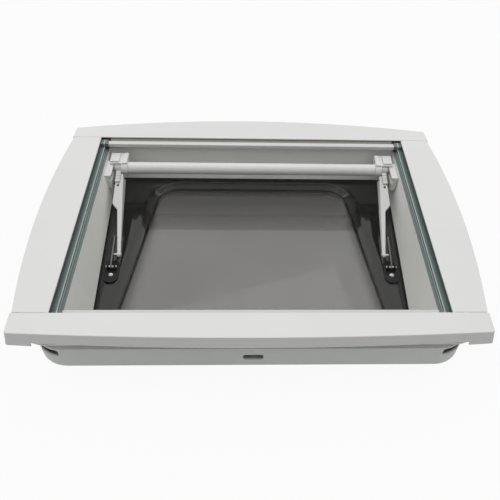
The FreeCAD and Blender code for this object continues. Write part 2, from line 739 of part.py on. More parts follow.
def build_blind(name, way, groove_bottom, groove_height):
    """End rail, sliders, anchor bar and folded pleats of one blind."""
    play = s.blind_play
    low = groove_bottom + play
    high = groove_bottom + groove_height - play
    rail_half = guide_edge - 2
    near = opening_y - 0.5
    rail = new_body("EndRail")
    section = rectangle(
        rail, "YZ_Plane", -rail_half, *sorted((near * way, (near - s.rail_width) * way), key=float),
        low - 0.5, high + 0.2,
    )
    pad(rail, section, rail_half * 2)
    fillet(rail, lambda edge: edge.BoundBox.XLength > 100, ZERO + 2)
    keep(rail, f"{name}_end_rail")
    sliders = []
    for side in (-1, 1):
        slider = new_body("Slider")
        start = rail_half if side > 0 else -(rail_half + s.slider_length)
        inner = near - 1
        outer = near - s.rail_width + 1
        block = rectangle(
            slider, "YZ_Plane", start, *sorted((inner * way, outer * way), key=float), low, high
        )
        pad(slider, block, s.slider_length)
        sliders.append(slider)
    keep(group(sliders), f"{name}_sliders")
    bar = new_body("AnchorBar")
    bar_half = rail_half + s.slider_length
    pack_end = opening_y + 1 + s.pack_depth
    block = rectangle(
        bar, "YZ_Plane", -bar_half, *sorted((pack_end * way, (pack_end + s.bar_width) * way), key=float),
        low, high,
    )
    pad(bar, block, bar_half * 2)
    keep(bar, f"{name}_anchor_bar")
    build_pleats(name, way, low, high, rail_half, pack_end)


def build_pleats(name, way, low, high, half, end):
    """Folded sheet as a zigzag ribbon."""
    body = new_body("Pleats")
    pitch = s.pack_depth / (PLEATS * 2)
    start = end - s.pack_depth
    lower = []
    upper = []
    for fold in range(2 * PLEATS + 1):
        height = low if fold % 2 == 0 else high - s.pleat_sheet
        along = (start + pitch * fold) * way
        lower.append((along, height))
        upper.append((along, height + s.pleat_sheet))
    pad(body, polygon(body, "YZ_Plane", -half, lower + upper[::-1]), half * 2)
    keep(body, f"{name}_pleats")


def build_catch(label, side):
    """Housing on the side wall with a channel that is open towards the front."""
    body = new_body("Catch")
    wall_low = guide_edge - 4
    wall_high = guide_edge - 1.2
    profile = [
        (s.catch_face, catch_bottom),
        (wall_low, catch_bottom),
        (wall_high, catch_top),
        (s.catch_face, catch_top),
    ]
    corners = [(across * side, up) for across, up in profile]
    pad(body, polygon(body, "XZ_Plane", -catch_end, corners), s.catch_front + s.catch_back)

    def is_face_edge(edge):
        return height_of(edge) > 20 and abs(edge.BoundBox.Center.x) < float(s.catch_face) + 1

    fillet(body, is_face_edge, ZERO + 3)
    channel_back = s.handle_back + s.peg_radius + 2
    low_z = handle_z - s.peg_radius - 1
    high_z = low_z + s.channel_height
    role_offset = s.catch_face + s.channel_depth if side > 0 else -s.catch_face + 1
    channel = rectangle(body, "YZ_Plane", role_offset, catch_start - 1, channel_back, low_z, high_z)
    pocket(body, channel, s.channel_depth + 1)
    side_end = guide_edge + 1 if side > 0 else -(s.catch_face - 1)
    holes = circles(body, "YZ_Plane", side_end, catch_screws(), s.small_screw_radius)
    pocket(body, holes, guide_edge - s.catch_face + 2)
    keep(body, label)


def catch_screws():
    """Centres of a catch's two screws."""
    level = catch_bottom + 6
    return [(catch_start + 9, level), (catch_end - 9, level)]


def build_hinges():
    """Two hinges under the outer frame at the front edge of the dome."""
    half = s.hinge_length / 2
    third = s.hinge_length / 6
    bore = s.hinge_pin_radius + s.pin_play
    pins = []
    for label, side in SIDES:
        centre = s.hinge_spacing / 2 * side
        frame_leaf = new_body("FrameLeaf")
        plate = rectangle(
            frame_leaf, "XY_Plane", frame_bottom - s.leaf_thickness, centre - half, centre + half,
            -frame_y + 2, hinge_y + 4,
        )
        pad(frame_leaf, plate, s.leaf_thickness)
        for start in (centre - half, centre + third + s.knuckle_gap):
            width = half - third - s.knuckle_gap
            pad(frame_leaf, circles(frame_leaf, "YZ_Plane", start, [(hinge_y, hinge_z)], s.knuckle_radius), width)
            web = rectangle(
                frame_leaf, "YZ_Plane", start, hinge_y - s.knuckle_radius, hinge_y + s.knuckle_radius,
                hinge_z, frame_bottom - s.leaf_thickness / 2,
            )
            pad(frame_leaf, web, width)
        hole = circles(frame_leaf, "YZ_Plane", centre + half + 1, [(hinge_y, hinge_z)], bore)
        pocket(frame_leaf, hole, s.hinge_length + 2)
        spots = leaf_screws(leaf_screw_y)[:2] if side < 0 else leaf_screws(leaf_screw_y)[2:]
        pocket(frame_leaf, circles(frame_leaf, "XY_Plane", frame_bottom, spots, s.small_screw_radius), s.leaf_thickness)
        keep(frame_leaf, f"hinge_frame_leaf_{label}")
        dome_leaf = new_body("DomeLeaf")
        knuckle_bottom = hinge_z - s.knuckle_radius
        leaf_low = bond - s.leaf_thickness
        knuckle = circles(dome_leaf, "YZ_Plane", centre - third, [(hinge_y, hinge_z)], s.knuckle_radius)
        pad(dome_leaf, knuckle, third * 2)
        web = rectangle(
            dome_leaf, "YZ_Plane", centre - third, hinge_y, hinge_y + s.hinge_offset + 4, leaf_low + 0.2, bond
        )
        pad(dome_leaf, web, third * 2)
        plate = rectangle(
            dome_leaf, "XY_Plane", leaf_low, centre - half + 5, centre + half - 5,
            hinge_y + s.hinge_offset - 1, -s.shell_front - 3,
        )
        pad(dome_leaf, plate, s.leaf_thickness)
        hole = circles(dome_leaf, "YZ_Plane", centre + half, [(hinge_y, hinge_z)], bore)
        pocket(dome_leaf, hole, s.hinge_length)
        spots = leaf_screws(dome_screw_y)[:2] if side < 0 else leaf_screws(dome_screw_y)[2:]
        pocket(dome_leaf, circles(dome_leaf, "XY_Plane", bond, spots, s.small_screw_radius), s.leaf_thickness)
        keep(dome_leaf, f"hinge_dome_leaf_{label}")
        pins.append(cylinder(s.hinge_pin_radius, s.hinge_length, (centre - half, hinge_y, hinge_z), ALONG_X))
    keep(group(pins), "hinge_pins")


def round_corners(body, offset, corners, radius):
    """A sketch of a polygon with round corners, its sharp corners tied to the sheet."""
    sketch = new_sketch(body, "XY_Plane", offset)
    points = [Vector(float(across), float(up), 0) for across, up in corners]
    count = len(points)
    r = float(radius)
    ends = []
    arcs = []
    for index, point in enumerate(points):
        back = (points[index - 1] - point).normalize()
        ahead = (points[(index + 1) % count] - point).normalize()
        half_angle = back.getAngle(ahead) / 2
        reach = r / math.tan(half_angle)
        middle = point + (back + ahead).normalize() * (r / math.sin(half_angle))
        first = point + back * reach
        last = point + ahead * reach
        ends.append((first, last))
        turns = [math.atan2(end.y - middle.y, end.x - middle.x) for end in (first, last)]
        if turns[1] < turns[0]:
            turns[1] += 2 * math.pi
        arcs.append(Part.ArcOfCircle(Part.Circle(middle, Vector(0, 0, 1), r), *turns))
    for index in range(count):
        sketch.addGeometry(arcs[index], False)
        sketch.addGeometry(Part.LineSegment(ends[index][1], ends[(index + 1) % count][0]), False)
    for index in range(2 * count):
        tie = Sketcher.Constraint("Tangent", index, 2, (index + 1) % (2 * count), 1)
        sketch.addConstraint(tie)
    for index, (across, up) in enumerate(corners):
        mark = sketch.addGeometry(Part.Point(points[index]), True)
        for line in (2 * index + 1, (2 * index - 1) % (2 * count)):
            sketch.addConstraint(Sketcher.Constraint("PointOnObject", mark, 1, line))
        set_point(sketch, mark, across, up)
        if index:
            sketch.addConstraint(Sketcher.Constraint("Equal", 0, 2 * index))
    place = sketch.addConstraint(Sketcher.Constraint("Radius", 0, r))
    sketch.renameConstraint(place, "Corner")
    sketch.setExpression("Constraints.Corner", radius.formula)
    return sketch


def build_dome():
    """Two smoked acrylic skins joined at their rims, and the seal that they close on."""
    outline = (-s.rim_half_length, s.rim_half_length, -s.rim_front, s.rim_back, s.rim_corner_radius)
    inner = new_body("InnerSkin")
    pad(inner, rounded(inner, "XY_Plane", rim_bottom, *outline), s.skin_thickness)

    def tray(spread, top, bottom):
        sections = []
        for level, step, end in ((top, ZERO, ZERO), (bottom, s.tray_step, s.tray_end_step)):
            front_half = s.tray_front_half + spread - step
            back_half = s.tray_back_half + spread - step
            front = -(s.tray_front + spread - end)
            back = s.tray_back + spread - end
            corners = [(-front_half, front), (front_half, front), (back_half, back), (-back_half, back)]
            sections.append(round_corners(inner, level, corners, s.tray_corner_radius + spread - step))
        return sections

    tray_floor = rim_bottom - s.tray_depth
    loft(inner, tray(ZERO + 1, rim_bottom, tray_floor - s.skin_thickness))
    loft(inner, tray(ZERO, rim_top, tray_floor), "PartDesign::SubtractiveLoft")
    keep(inner, "dome_inner_skin")

    outer = new_body("OuterSkin")
    pad(outer, rounded(outer, "XY_Plane", bond, *outline), s.skin_thickness)

    def shell(spread, top, bottom):
        sections = []
        for level, step in ((top, ZERO), (bottom, s.shell_step)):
            half = s.shell_half_length + spread - step
            front = -(s.shell_front + spread - step)
            back = s.shell_back + spread - step
            corners = [(-half, front), (half, front), (half, back), (-half, back)]
            sections.append(round_corners(outer, level, corners, s.shell_corner_radius + spread - step))
        return sections

    loft(outer, shell(ZERO + 1, bond, ZERO))
    loft(outer, shell(ZERO, rim_bottom, ZERO + s.skin_thickness), "PartDesign::SubtractiveLoft")

    def is_plateau_edge(edge):
        return all(vertex.Z < 0.01 for vertex in edge.Vertexes)

    fillet(outer, is_plateau_edge, s.shell_edge_radius)
    leaf_holes = circles(outer, "XY_Plane", rim_bottom, leaf_screws(dome_screw_y), s.small_screw_radius)
    pocket(outer, leaf_holes, s.skin_thickness)
    keep(outer, "dome_outer_skin")

    seal = new_body("Seal")
    inset = s.seal_inset
    ring = new_sketch(seal, "XY_Plane", rim_top)
    for step in (inset, inset + s.seal_width):
        add_rounded_loop(
            ring, -(s.rim_half_length - step), s.rim_half_length - step, -(s.rim_front - step),
            s.rim_back - step, s.rim_corner_radius - step,
        )
    pad(seal, ring, s.seal_thickness)
    keep(seal, "dome_seal")


def domed_screw(across, along, level):
    """A low domed head with a hexagon socket, its shank in the plate below."""
    body = new_body("DomedScrew")
    radius = s.bracket_screw_radius
    height = radius * 0.5
    sketch = new_sketch(body, "XZ_Plane", -along)
    x, z, r, h = (float(size) for size in (across, level, radius, height))
    sweep = (radius * radius + height * height) / (height * 2)
    big = float(sweep)
    lean = math.atan2(z - (z + h - big), r)
    sketch.addGeometry(Part.LineSegment(Vector(x, z + h, 0), Vector(x, z, 0)), False)
    sketch.addGeometry(Part.LineSegment(Vector(x, z, 0), Vector(x + r, z, 0)), False)
    circle = Part.Circle(Vector(x, z + h - big, 0), Vector(0, 0, 1), big)
    sketch.addGeometry(Part.ArcOfCircle(circle, lean, math.pi / 2), False)
    for tie in (("Coincident", 0, 2, 1, 1), ("Coincident", 1, 2, 2, 1), ("Coincident", 2, 2, 0, 1)):
        sketch.addConstraint(Sketcher.Constraint(*tie))
    set_point(sketch, 0, across, level + height)
    set_point(sketch, 1, across, level)
    sizes = [("DistanceX", (-1, 1, 1, 2), across + radius), ("DistanceY", (-1, 1, 1, 2), level)]
    sizes += [("Radius", (2,), sweep)]
    for number, (kind, places, size) in enumerate(sizes):
        index = sketch.addConstraint(Sketcher.Constraint(kind, *places, float(size)))
        sketch.renameConstraint(index, f"Head_{number}")
        sketch.setExpression(f"Constraints.Head_{number}", size.formula)
    turned = body.newObject("PartDesign::Revolution", "Revolution")
    turned.Profile = sketch
    turned.ReferenceAxis = (sketch, ["Edge1"])
    turned.Angle = 360
    socket = radius * 0.4
    flat = socket * 0.866
    half = socket / 2
    corners = [(socket, ZERO), (half, flat), (-half, flat), (-socket, ZERO), (-half, -flat), (half, -flat)]
    places = [(across + step, along + rise) for step, rise in corners]
    pocket(body, polygon(body, "XY_Plane", level + height + 1, places), ZERO + 2.2)
    return body


def build_brackets():
    """Black fittings on the dome's rim with the arms' lower pins."""
    pads = []
    pins = []
    screws = []
    for label, side in SIDES:
        centre = s.bracket_centre * side
        half_width = s.bracket_width / 2
        half_length = s.bracket_length / 2
        outline = (centre - half_width, centre + half_width, -s.bracket_base_front - half_length,
                   -s.bracket_base_front + half_length, half_width - 0.5)
        pad_body = new_body("BracketPad")
        pad(pad_body, rounded(pad_body, "XY_Plane", rim_top, *outline), s.pad_thickness)
        pads.append(pad_body)
        bracket = new_body("Bracket")
        base = rounded(bracket, "XY_Plane", rim_top + s.pad_thickness, *outline)
        pad(bracket, base, s.bracket_thickness)
        pin_y = -s.bracket_pin_front
        for start in (centre - s.ear_span / 2 - s.ear_thickness, centre + s.ear_span / 2):
            round_top = circles(bracket, "YZ_Plane", start, [(pin_y, pin_z)], s.ear_radius)
            pad(bracket, round_top, s.ear_thickness)
            foot = rectangle(
                bracket, "YZ_Plane", start, pin_y - s.ear_radius, pin_y + s.ear_radius, base_top - 1, pin_z
            )
            pad(bracket, foot, s.ear_thickness)
        hole = circles(
            bracket, "YZ_Plane", centre + s.bracket_width, [(pin_y, pin_z)], s.bracket_pin_radius
        )
        pocket(bracket, hole, s.bracket_width * 2)
        keep(bracket, f"bracket_{label}")
        pin_start = centre - s.bracket_pin_length / 2
        pins.append(
            cylinder(s.bracket_pin_radius, s.bracket_pin_length, (pin_start, pin_y, pin_z), ALONG_X)
        )
        screws.append(domed_screw(centre, pin_y - s.bracket_screw_front, base_top))
    keep(group(pads), "bracket_pads")
    keep(group(pins), "bracket_pins")
    keep(group(screws), "bracket_screws")


def place_arm_piece(body):
    """Lay a piece that is drawn along Y on the line from the lower pin to the handle."""
    body.Placement = Placement(Vector(), Rotation(Vector(1, 0, 0), 10))
    body.setExpression("Placement.Rotation.Angle", arm_angle.formula)
    body.setExpression("Placement.Base.y", (-s.bracket_pin_front).formula)
    body.setExpression("Placement.Base.z", pin_z.formula)


def build_arms():
    """White arms, the steel links at their feet and the rivets between them."""
    rivets = []
    for label, side in SIDES:
        inner_foot = s.bracket_centre - 15
        outer_foot = inner_foot + 6
        inner_top = s.tube_half_length + 3.5
        outer_top = eye_end - 4
        profile = [
            (inner_foot, s.rivet_distance),
            (outer_foot, s.rivet_distance),
            (outer_foot + 12, arm_length * 0.553),
            (outer_top, arm_length * 0.612),
            (outer_top, arm_length),
            (eye_start, arm_length),
            (eye_start, arm_length - s.eye_radius * 2),
            (inner_top, arm_length - s.eye_radius * 2),
            (inner_foot + 5, arm_length * 0.553),
        ]
        arm = new_body("Arm")
        half = s.arm_thickness / 2
        pad(arm, polygon(arm, "XY_Plane", -half, [(across * side, up) for across, up in profile]), s.arm_thickness)
        rib_profile = [
            (outer_foot + 12, arm_length * 0.553),
            (outer_top, arm_length * 0.612),
            (outer_top, arm_length - s.eye_radius),
            (outer_top - 2, arm_length - s.eye_radius),
            (outer_top - 2, arm_length * 0.612),
            (outer_foot + 10, arm_length * 0.553),
        ]
        rib = polygon(arm, "XY_Plane", -(half + s.arm_rib), [(across * side, up) for across, up in rib_profile])
        pad(arm, rib, s.arm_rib + half)
        eye_low = eye_start if side > 0 else -eye_end
        eye = circles(arm, "YZ_Plane", eye_low, [(arm_length, ZERO)], s.eye_radius)
        pad(arm, eye, s.eye_width)
        foot_low = inner_foot if side > 0 else -outer_foot
        foot = circles(arm, "YZ_Plane", foot_low, [(s.rivet_distance, ZERO)], s.link_radius)
        pad(arm, foot, outer_foot - inner_foot)
        root_end = arm_length - s.eye_radius - 5
        root_start = root_end - s.root_length
        root_low = eye_start if side > 0 else -outer_top
        root_width = outer_top - eye_start
        root = rectangle(arm, "YZ_Plane", root_low, root_start, root_end, ZERO, s.root_height)
        pad(arm, root, root_width)
        rib_pitch = s.root_length / 4
        for step in (1, 2, 3):
            middle = root_start + rib_pitch * step
            groove = rectangle(
                arm, "YZ_Plane", root_low + root_width + 1, middle - s.root_groove / 2,
                middle + s.root_groove / 2, half + 1.5, s.root_height + 1,
            )
            pocket(arm, groove, root_width + 2)
        slot_end = root_start - 4
        slot = rectangle(
            arm, "XY_Plane", half + 1, *sorted(((eye_start + 1) * side, (eye_start + 6) * side), key=float),
            slot_end - 5, slot_end,
        )
        pocket(arm, slot, s.arm_thickness + 2)
        reach = eye_end + 1 if side > 0 else -(eye_start - 1)
        upper_hole = circles(arm, "YZ_Plane", reach, [(arm_length, ZERO)], s.stub_radius + s.pin_play)
        pocket(arm, upper_hole, s.eye_width + 2)
        reach = outer_foot + 1 if side > 0 else -(inner_foot - 1)
        lower_hole = circles(arm, "YZ_Plane", reach, [(s.rivet_distance, ZERO)], s.rivet_radius)
        pocket(arm, lower_hole, outer_foot - inner_foot + 2)
        place_arm_piece(arm)
        keep(arm, f"arm_{label}")

        link = new_body("Link")
        link_low = s.bracket_centre * side - s.link_thickness / 2
        strip = rounded(
            link, "YZ_Plane", link_low, -s.link_radius, s.link_length, -s.link_radius, s.link_radius,
            s.link_radius - 0.1,
        )
        pad(link, strip, s.link_thickness)
        lower_pin = circles(
            link, "YZ_Plane", link_low + s.link_thickness + 1, [(ZERO, ZERO)], s.bracket_pin_radius + s.pin_play
        )
        pocket(link, lower_pin, s.link_thickness + 2)
        rivet_hole = circles(
            link, "YZ_Plane", link_low + s.link_thickness + 1, [(s.rivet_distance, ZERO)], s.rivet_radius
        )
        pocket(link, rivet_hole, s.link_thickness + 2)
        place_arm_piece(link)
        keep(link, f"arm_link_{label}")

        rivet = new_body("Rivet")
        head_low = (inner_foot - 2 if side > 0 else -inner_foot)
        pad(rivet, circles(rivet, "YZ_Plane", head_low, [(s.rivet_distance, ZERO)], s.rivet_radius + 1.6), ZERO + 2)
        shank_end = s.bracket_centre + s.link_thickness / 2 + 0.5
        shank_low = inner_foot if side > 0 else -shank_end
        shank = circles(rivet, "YZ_Plane", shank_low, [(s.rivet_distance, ZERO)], s.rivet_radius)
        pad(rivet, shank, shank_end - inner_foot)
        place_arm_piece(rivet)
        rivets.append(rivet)
    keep(group(rivets), "arm_rivets")


def build_handle():
    """Handle tube, its end blocks with pivot stubs and pegs, clips and lock buttons."""
    axis = (s.handle_back, handle_z)
    half = s.tube_half_length
    outer = cylinder(s.tube_radius, half * 2, (-half, *axis), ALONG_X)
    bore = cylinder(s.tube_radius - s.tube_wall, half * 2 + 2, (-half - 1, *axis), ALONG_X)
    keep(cut(outer, bore), "handle_tube")
    clips = []
    for label, side in SIDES:
        block = new_body("EndBlock")

        def round_part(start, end, radius):
            low = start if side > 0 else -end
            pad(block, circles(block, "YZ_Plane", low, [axis], radius), end - start)

        def square_part(start, end, front, back, bottom, top):
            low = start if side > 0 else -end
            pad(block, rectangle(block, "YZ_Plane", low, front, back, bottom, top), end - start)

        cap_end = half + s.cap_width
        head_end = half + s.head_width
        head_low = handle_z + s.eye_radius + 0.5
        head_top = head_low + s.head_height
        front = s.handle_back - s.head_front
        back = s.handle_back + s.head_back
        rib_start = half + 1
        rib_end = rib_start + s.head_rib_width
        round_part(half - 25, half, s.tube_radius - s.tube_wall)
        round_part(half, cap_end, s.cap_radius)
        square_part(half + 1, cap_end, s.handle_back, back, head_low - s.lever_height, head_low + 1)
        square_part(rib_start, head_end, front, back, head_low, head_top)

        def is_back_corner(edge):
            return edge.BoundBox.Center.y > float(back) - 0.1 and height_of(edge) > 1

        fillet(block, is_back_corner, ZERO + 3)
        square_part(rib_start, rib_end, front - 3, back - 3, head_low + 1, head_top + s.head_rib)

        def is_rib_edge(edge):
            return edge.BoundBox.ZMin > float(head_top + s.head_rib) - 0.1 and edge.BoundBox.YLength > 10

        fillet(block, is_rib_edge, s.head_rib - 0.5)
        round_part(cap_end, clip_end, s.stub_radius)
        round_part(clip_end, clip_end + s.peg_length, s.peg_radius)
        keep(block, f"end_block_{label}")

        clip_low = clip_start if side > 0 else -clip_end
        disc = cylinder(s.cap_radius * 0.6, s.clip_thickness, (clip_low, *axis), ALONG_X)
        hole = cylinder(s.stub_radius, s.clip_thickness + 2, (clip_low - 1, *axis), ALONG_X)
        clips.append(cut(disc, hole))

        button = new_body("LockButton")
        button_start = rib_end + s.button_gap
        low = button_start if side > 0 else -head_end
        button_top = head_top + s.head_rib
        plate = rectangle(button, "YZ_Plane", low, front + 3, back - 3, head_top + 0.3, button_top)
        pad(button, plate, head_end - button_start)

        def is_button_edge(edge):
            return edge.BoundBox.ZMin > float(button_top) - 0.1

        fillet(button, is_button_edge, s.head_rib / 3)
        keep(button, f"lock_button_{label}")
    keep(group(clips), "pivot_clips")


def small_screw(place, length, turn, way):
    """A small screw whose head's seat is at the place and whose shank runs along the turned axis."""
    axis = turn.multVec(Vector(0, 0, 1))
    main = "xyz"[[abs(part) > 0.5 for part in axis].index(True)]
    before = s.small_head_height if way > 0 else length
    after = length if way > 0 else s.small_head_height
    first = [size - before if name == main else size for name, size in zip("xyz", place)]
    head_place, shank_place = (first, place) if way > 0 else (place, first)
    head = cylinder(s.small_head_radius, before if way > 0 else after, head_place, turn)
    shank = cylinder(s.small_screw_radius, after if way > 0 else before, shank_place, turn)
    return fuse([head, shank])


def build_small_screws():
    """Screws of the hinges' leaves and of the catches."""
    depth = s.leaf_thickness + s.frame_wall
    low = frame_bottom - s.leaf_thickness
    spots = leaf_screws(leaf_screw_y)
    screws = [small_screw((across, along, low), depth, UPRIGHT, 1) for across, along in spots]
    keep(group(screws), "hinge_frame_screws")
    depth = s.leaf_thickness + s.skin_thickness
    low = bond - s.leaf_thickness
    spots = leaf_screws(dome_screw_y)
    screws = [small_screw((across, along, low), depth, UPRIGHT, 1) for across, along in spots]
    keep(group(screws), "hinge_dome_screws")
    depth = guide_edge - s.catch_face
    screws = []
    for _, side in SIDES:
        for along, level in catch_screws():
            screws.append(small_screw((s.catch_face * side, along, level), depth, ALONG_X, side))
    keep(group(screws), "catch_screws")


def build_screws():
    """Clamp screws from the inner frame's flange into the outer frame's bosses."""
    screws = []
    for side in (-1, 1):
        for row in CLAMP_SCREW_ROWS:
            across = (cutout_x - s.screw_inset) * side
            along = ZERO + row
            head = cylinder(s.screw_head_radius, ZERO + 2.5, (across, along, flange_top), UPRIGHT)
            length = flange_top - roof_outside - s.upstand_height + 16
            shank = cylinder(s.screw_radius, length, (across, along, flange_top - length), UPRIGHT)
            screws.append(fuse([head, shank]))
    keep(group(screws), "frame_screws")


def check_model():
    """Stop at any failed object or broken shape."""
    for item in doc.Objects:
        if "Invalid" in item.State or "Error" in item.State:
            raise ValueError(f"{item.Label} ({item.Name}) failed: {item.State}")
    for item in nodes:
        if item.Shape.isNull() or not item.Shape.isValid():
            raise ValueError(f"{item.Label} has no valid shape")


def write_parts():
    os.makedirs("parts", exist_ok=True)
    for item in nodes:
        item.Shape.exportStep(f"parts/{item.Label}.step")
        print(item.Label, len(item.Shape.Solids), round(item.Shape.Volume))


build_inner_frame()
build_outer_frame()
build_long_cover("cover_front", 180)
build_long_cover("cover_back", 0)
build_side_cover("cover_left", -1)
build_side_cover("cover_right", 1)
build_guide_rail("guide_rail_left", -1)
build_guide_rail("guide_rail_right", 1)
build_blind("blackout", 1, rib_top, s.blackout_groove)
build_blind("flyscreen", -1, guide_bottom + s.guide_wall, s.flyscreen_groove)
build_catch("catch_left", -1)
build_catch("catch_right", 1)
build_hinges()
build_dome()
build_brackets()
build_arms()
build_handle()
build_screws()
build_small_screws()
doc.recompute()
check_model()
write_parts()
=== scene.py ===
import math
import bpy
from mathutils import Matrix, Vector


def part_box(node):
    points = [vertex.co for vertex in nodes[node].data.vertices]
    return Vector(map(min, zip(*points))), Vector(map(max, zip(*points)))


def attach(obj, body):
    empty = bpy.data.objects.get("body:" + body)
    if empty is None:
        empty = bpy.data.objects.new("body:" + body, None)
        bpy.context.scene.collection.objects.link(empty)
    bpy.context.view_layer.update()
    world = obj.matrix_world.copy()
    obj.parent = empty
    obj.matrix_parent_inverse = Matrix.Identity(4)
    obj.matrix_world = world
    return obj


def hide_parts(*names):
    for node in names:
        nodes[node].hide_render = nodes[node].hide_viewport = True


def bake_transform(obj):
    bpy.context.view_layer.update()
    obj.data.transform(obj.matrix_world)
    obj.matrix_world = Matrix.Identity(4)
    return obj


bl_info = {
    "name": "Camper Roof Hatch",
    "version": (1, 0, 0),
    "blender": (4, 5, 0),
    "location": "3D View > Sidebar > Hatch",
    "description": "Dresses a camper roof hatch with its trim, dome, blinds, arms and handle",
    "category": "Add Mesh",
}

import bmesh
import bpy
from bpy.props import FloatProperty, FloatVectorProperty, IntProperty, PointerProperty
from bpy.types import Operator, Panel, PropertyGroup
from mathutils import Vector

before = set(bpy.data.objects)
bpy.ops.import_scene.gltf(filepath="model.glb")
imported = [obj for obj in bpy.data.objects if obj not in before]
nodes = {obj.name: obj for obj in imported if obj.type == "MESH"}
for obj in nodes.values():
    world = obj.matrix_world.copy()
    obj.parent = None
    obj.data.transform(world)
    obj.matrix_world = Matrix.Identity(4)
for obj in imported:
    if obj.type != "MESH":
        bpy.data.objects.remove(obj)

MM = 0.001
NEAR = 0.1 * MM  # nearer than this to a plane, a point lies on it
AWAY = 1 * MM  # farther than this, it doesn't
ALONG = 0.9  # the least share of an edge or a normal that runs along an axis


# Selecting and finishing


def leave_edit():
    """Go back to object mode with nothing selected."""
    if bpy.context.object and bpy.context.object.mode != "OBJECT":
        bpy.ops.object.mode_set(mode="OBJECT")
    bpy.ops.object.select_all(action="DESELECT")


def take(piece):
    """Make a piece the only selected and the active one."""
    leave_edit()
    piece.select_set(True)
    bpy.context.view_layer.objects.active = piece


def edit(piece):
    """Open a piece in edit mode."""
    take(piece)
    bpy.ops.object.mode_set(mode="EDIT")


def pick(kind, test):
    """Select the vertices, edges or faces of the edited piece that pass a test."""
    bpy.ops.mesh.select_mode(type=kind)
    bpy.ops.mesh.select_all(action="DESELECT")
    data = bpy.context.object.data
    mesh = bmesh.from_edit_mesh(data)
    parts = {"VERT": mesh.verts, "EDGE": mesh.edges, "FACE": mesh.faces}[kind]
    chosen = [part for part in parts if test(part)]
    for part in chosen:
        part.select_set(True)
    bmesh.update_edit_mesh(data)
    if not chosen:
        raise RuntimeError(f"{bpy.context.object.name}: nothing to select")


def pick_all():
    """Select all of the edited piece."""
    bpy.ops.mesh.select_all(action="SELECT")


def move(x, y, z):
    """Shift what is selected in edit mode."""
    bpy.ops.transform.translate(value=(x, y, z))


def widen(across, along=1):
    """Scale what is selected in edit mode about the middle of the hatch."""
    bpy.ops.transform.resize(value=(across, along, 1), center_override=(0, 0, 0))


def middle(edge):
    """The point half way along an edge."""
    return (edge.verts[0].co + edge.verts[1].co) / 2


def is_upright(edge):
    """Whether an edge runs along Z."""
    run = edge.verts[1].co - edge.verts[0].co
    return abs(run.z) > ALONG * run.length


def level_edge(height):
    """A test for the edges that lie at one height."""
    return lambda edge: all(abs(vertex.co.z - height) < NEAR for vertex in edge.verts)


def add_block(name, low, high):
    """A cube primitive between two corners, opened in edit mode."""
    leave_edit()
    low, high = Vector(low), Vector(high)
    bpy.ops.mesh.primitive_cube_add(size=1, location=(low + high) / 2, scale=high - low)
    bpy.ops.object.transform_apply(location=True, rotation=True, scale=True)
    piece = bpy.context.object
    piece.name = name
    bpy.ops.object.mode_set(mode="EDIT")
    return piece


def add_round(name, radius, start, end, sides):
    """A cylinder primitive between two points, its place applied to the mesh."""
    leave_edit()
    start, end = Vector(start), Vector(end)
    run = end - start
    turn = run.to_track_quat("Z", "Y").to_euler()
    bpy.ops.mesh.primitive_cylinder_add(
        vertices=sides, radius=radius, depth=run.length, location=(start + end) / 2, rotation=turn
    )
    bpy.ops.object.transform_apply(location=True, rotation=True, scale=True)
    piece = bpy.context.object
    piece.name = name
    return piece


def join(name, pieces):
    """Join several pieces into one."""
    leave_edit()
    for piece in pieces:
        piece.select_set(True)
    bpy.context.view_layer.objects.active = pieces[0]
    bpy.ops.object.join()
    joined = bpy.context.object
    joined.name = name
    return joined


def modify(piece, kind, **settings):
    """Add a modifier and apply it."""
    take(piece)
    modifier = piece.modifiers.new(kind.title(), kind)
    for name, value in settings.items():
        setattr(modifier, name, value)
    bpy.ops.object.modifier_apply(modifier=modifier.name)


def carve(piece, cutter):
    """Cut one piece with another and drop the cutter."""
    modify(piece, "BOOLEAN", operation="DIFFERENCE", object=cutter, solver="EXACT")
    bpy.data.objects.remove(cutter, do_unlink=True)


def round_edges(piece, width, segments, angle):
    """Round the edges whose faces meet at more than an angle."""
    modify(
        piece, "BEVEL", width=width, segments=segments, limit_method="ANGLE",
        angle_limit=math.radians(angle), harden_normals=False, miter_outer="MITER_ARC",
    )


def smooth(piece, angle=35):
    """Smooth shading with flat faces kept flat."""
    take(piece)
    bpy.ops.object.shade_smooth_by_angle(angle=math.radians(angle))
    modify(piece, "WEIGHTED_NORMAL", keep_sharp=True, weight=50)


def flip_outwards(piece):
    """Merge doubled points and turn all faces outwards."""
    edit(piece)
    pick_all()
    bpy.ops.mesh.remove_doubles(threshold=0.02 * MM)
    bpy.ops.mesh.normals_make_consistent(inside=False)
    leave_edit()


def dress(piece, finish, body, node):
    """Give a finished piece its finish and the body that it rides on, and hide the node that it stands for.
    """
    leave_edit()
    piece.data.materials.clear()
    piece.data.materials.append(finish_named(finish))
    if body:
        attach(piece, body)
    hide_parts(node)


def soften(node, name, width, segments=2, angle=35, shape=None):
    """Copy a node of the frame, merge its triangles, shape it and round its edges."""
    take(nodes[node])
    bpy.ops.object.duplicate()
    piece = bpy.context.object
    piece.name = name
    piece.parent = None
    for key in list(piece.keys()):
        del piece[key]
    piece.data.materials.clear()
    bpy.ops.mesh.customdata_custom_splitnormals_clear()
    edit(piece)
    pick_all()
    bpy.ops.mesh.remove_doubles(threshold=0.01 * MM)
    bpy.ops.mesh.dissolve_limited(angle_limit=math.radians(1.5))
    if shape:
        shape()
    leave_edit()
    if width:
        round_edges(piece, width, segments, angle)
    smooth(piece, angle)
    return piece


def dress_node(node, name, width, finish, body, slot, **rounding):
    """Soften a copy of a node and dress it."""
    dress(soften(node, name, width, **rounding), finish, body, node)


# Finishes

NOISE_RANGE = 0.3, 0.7
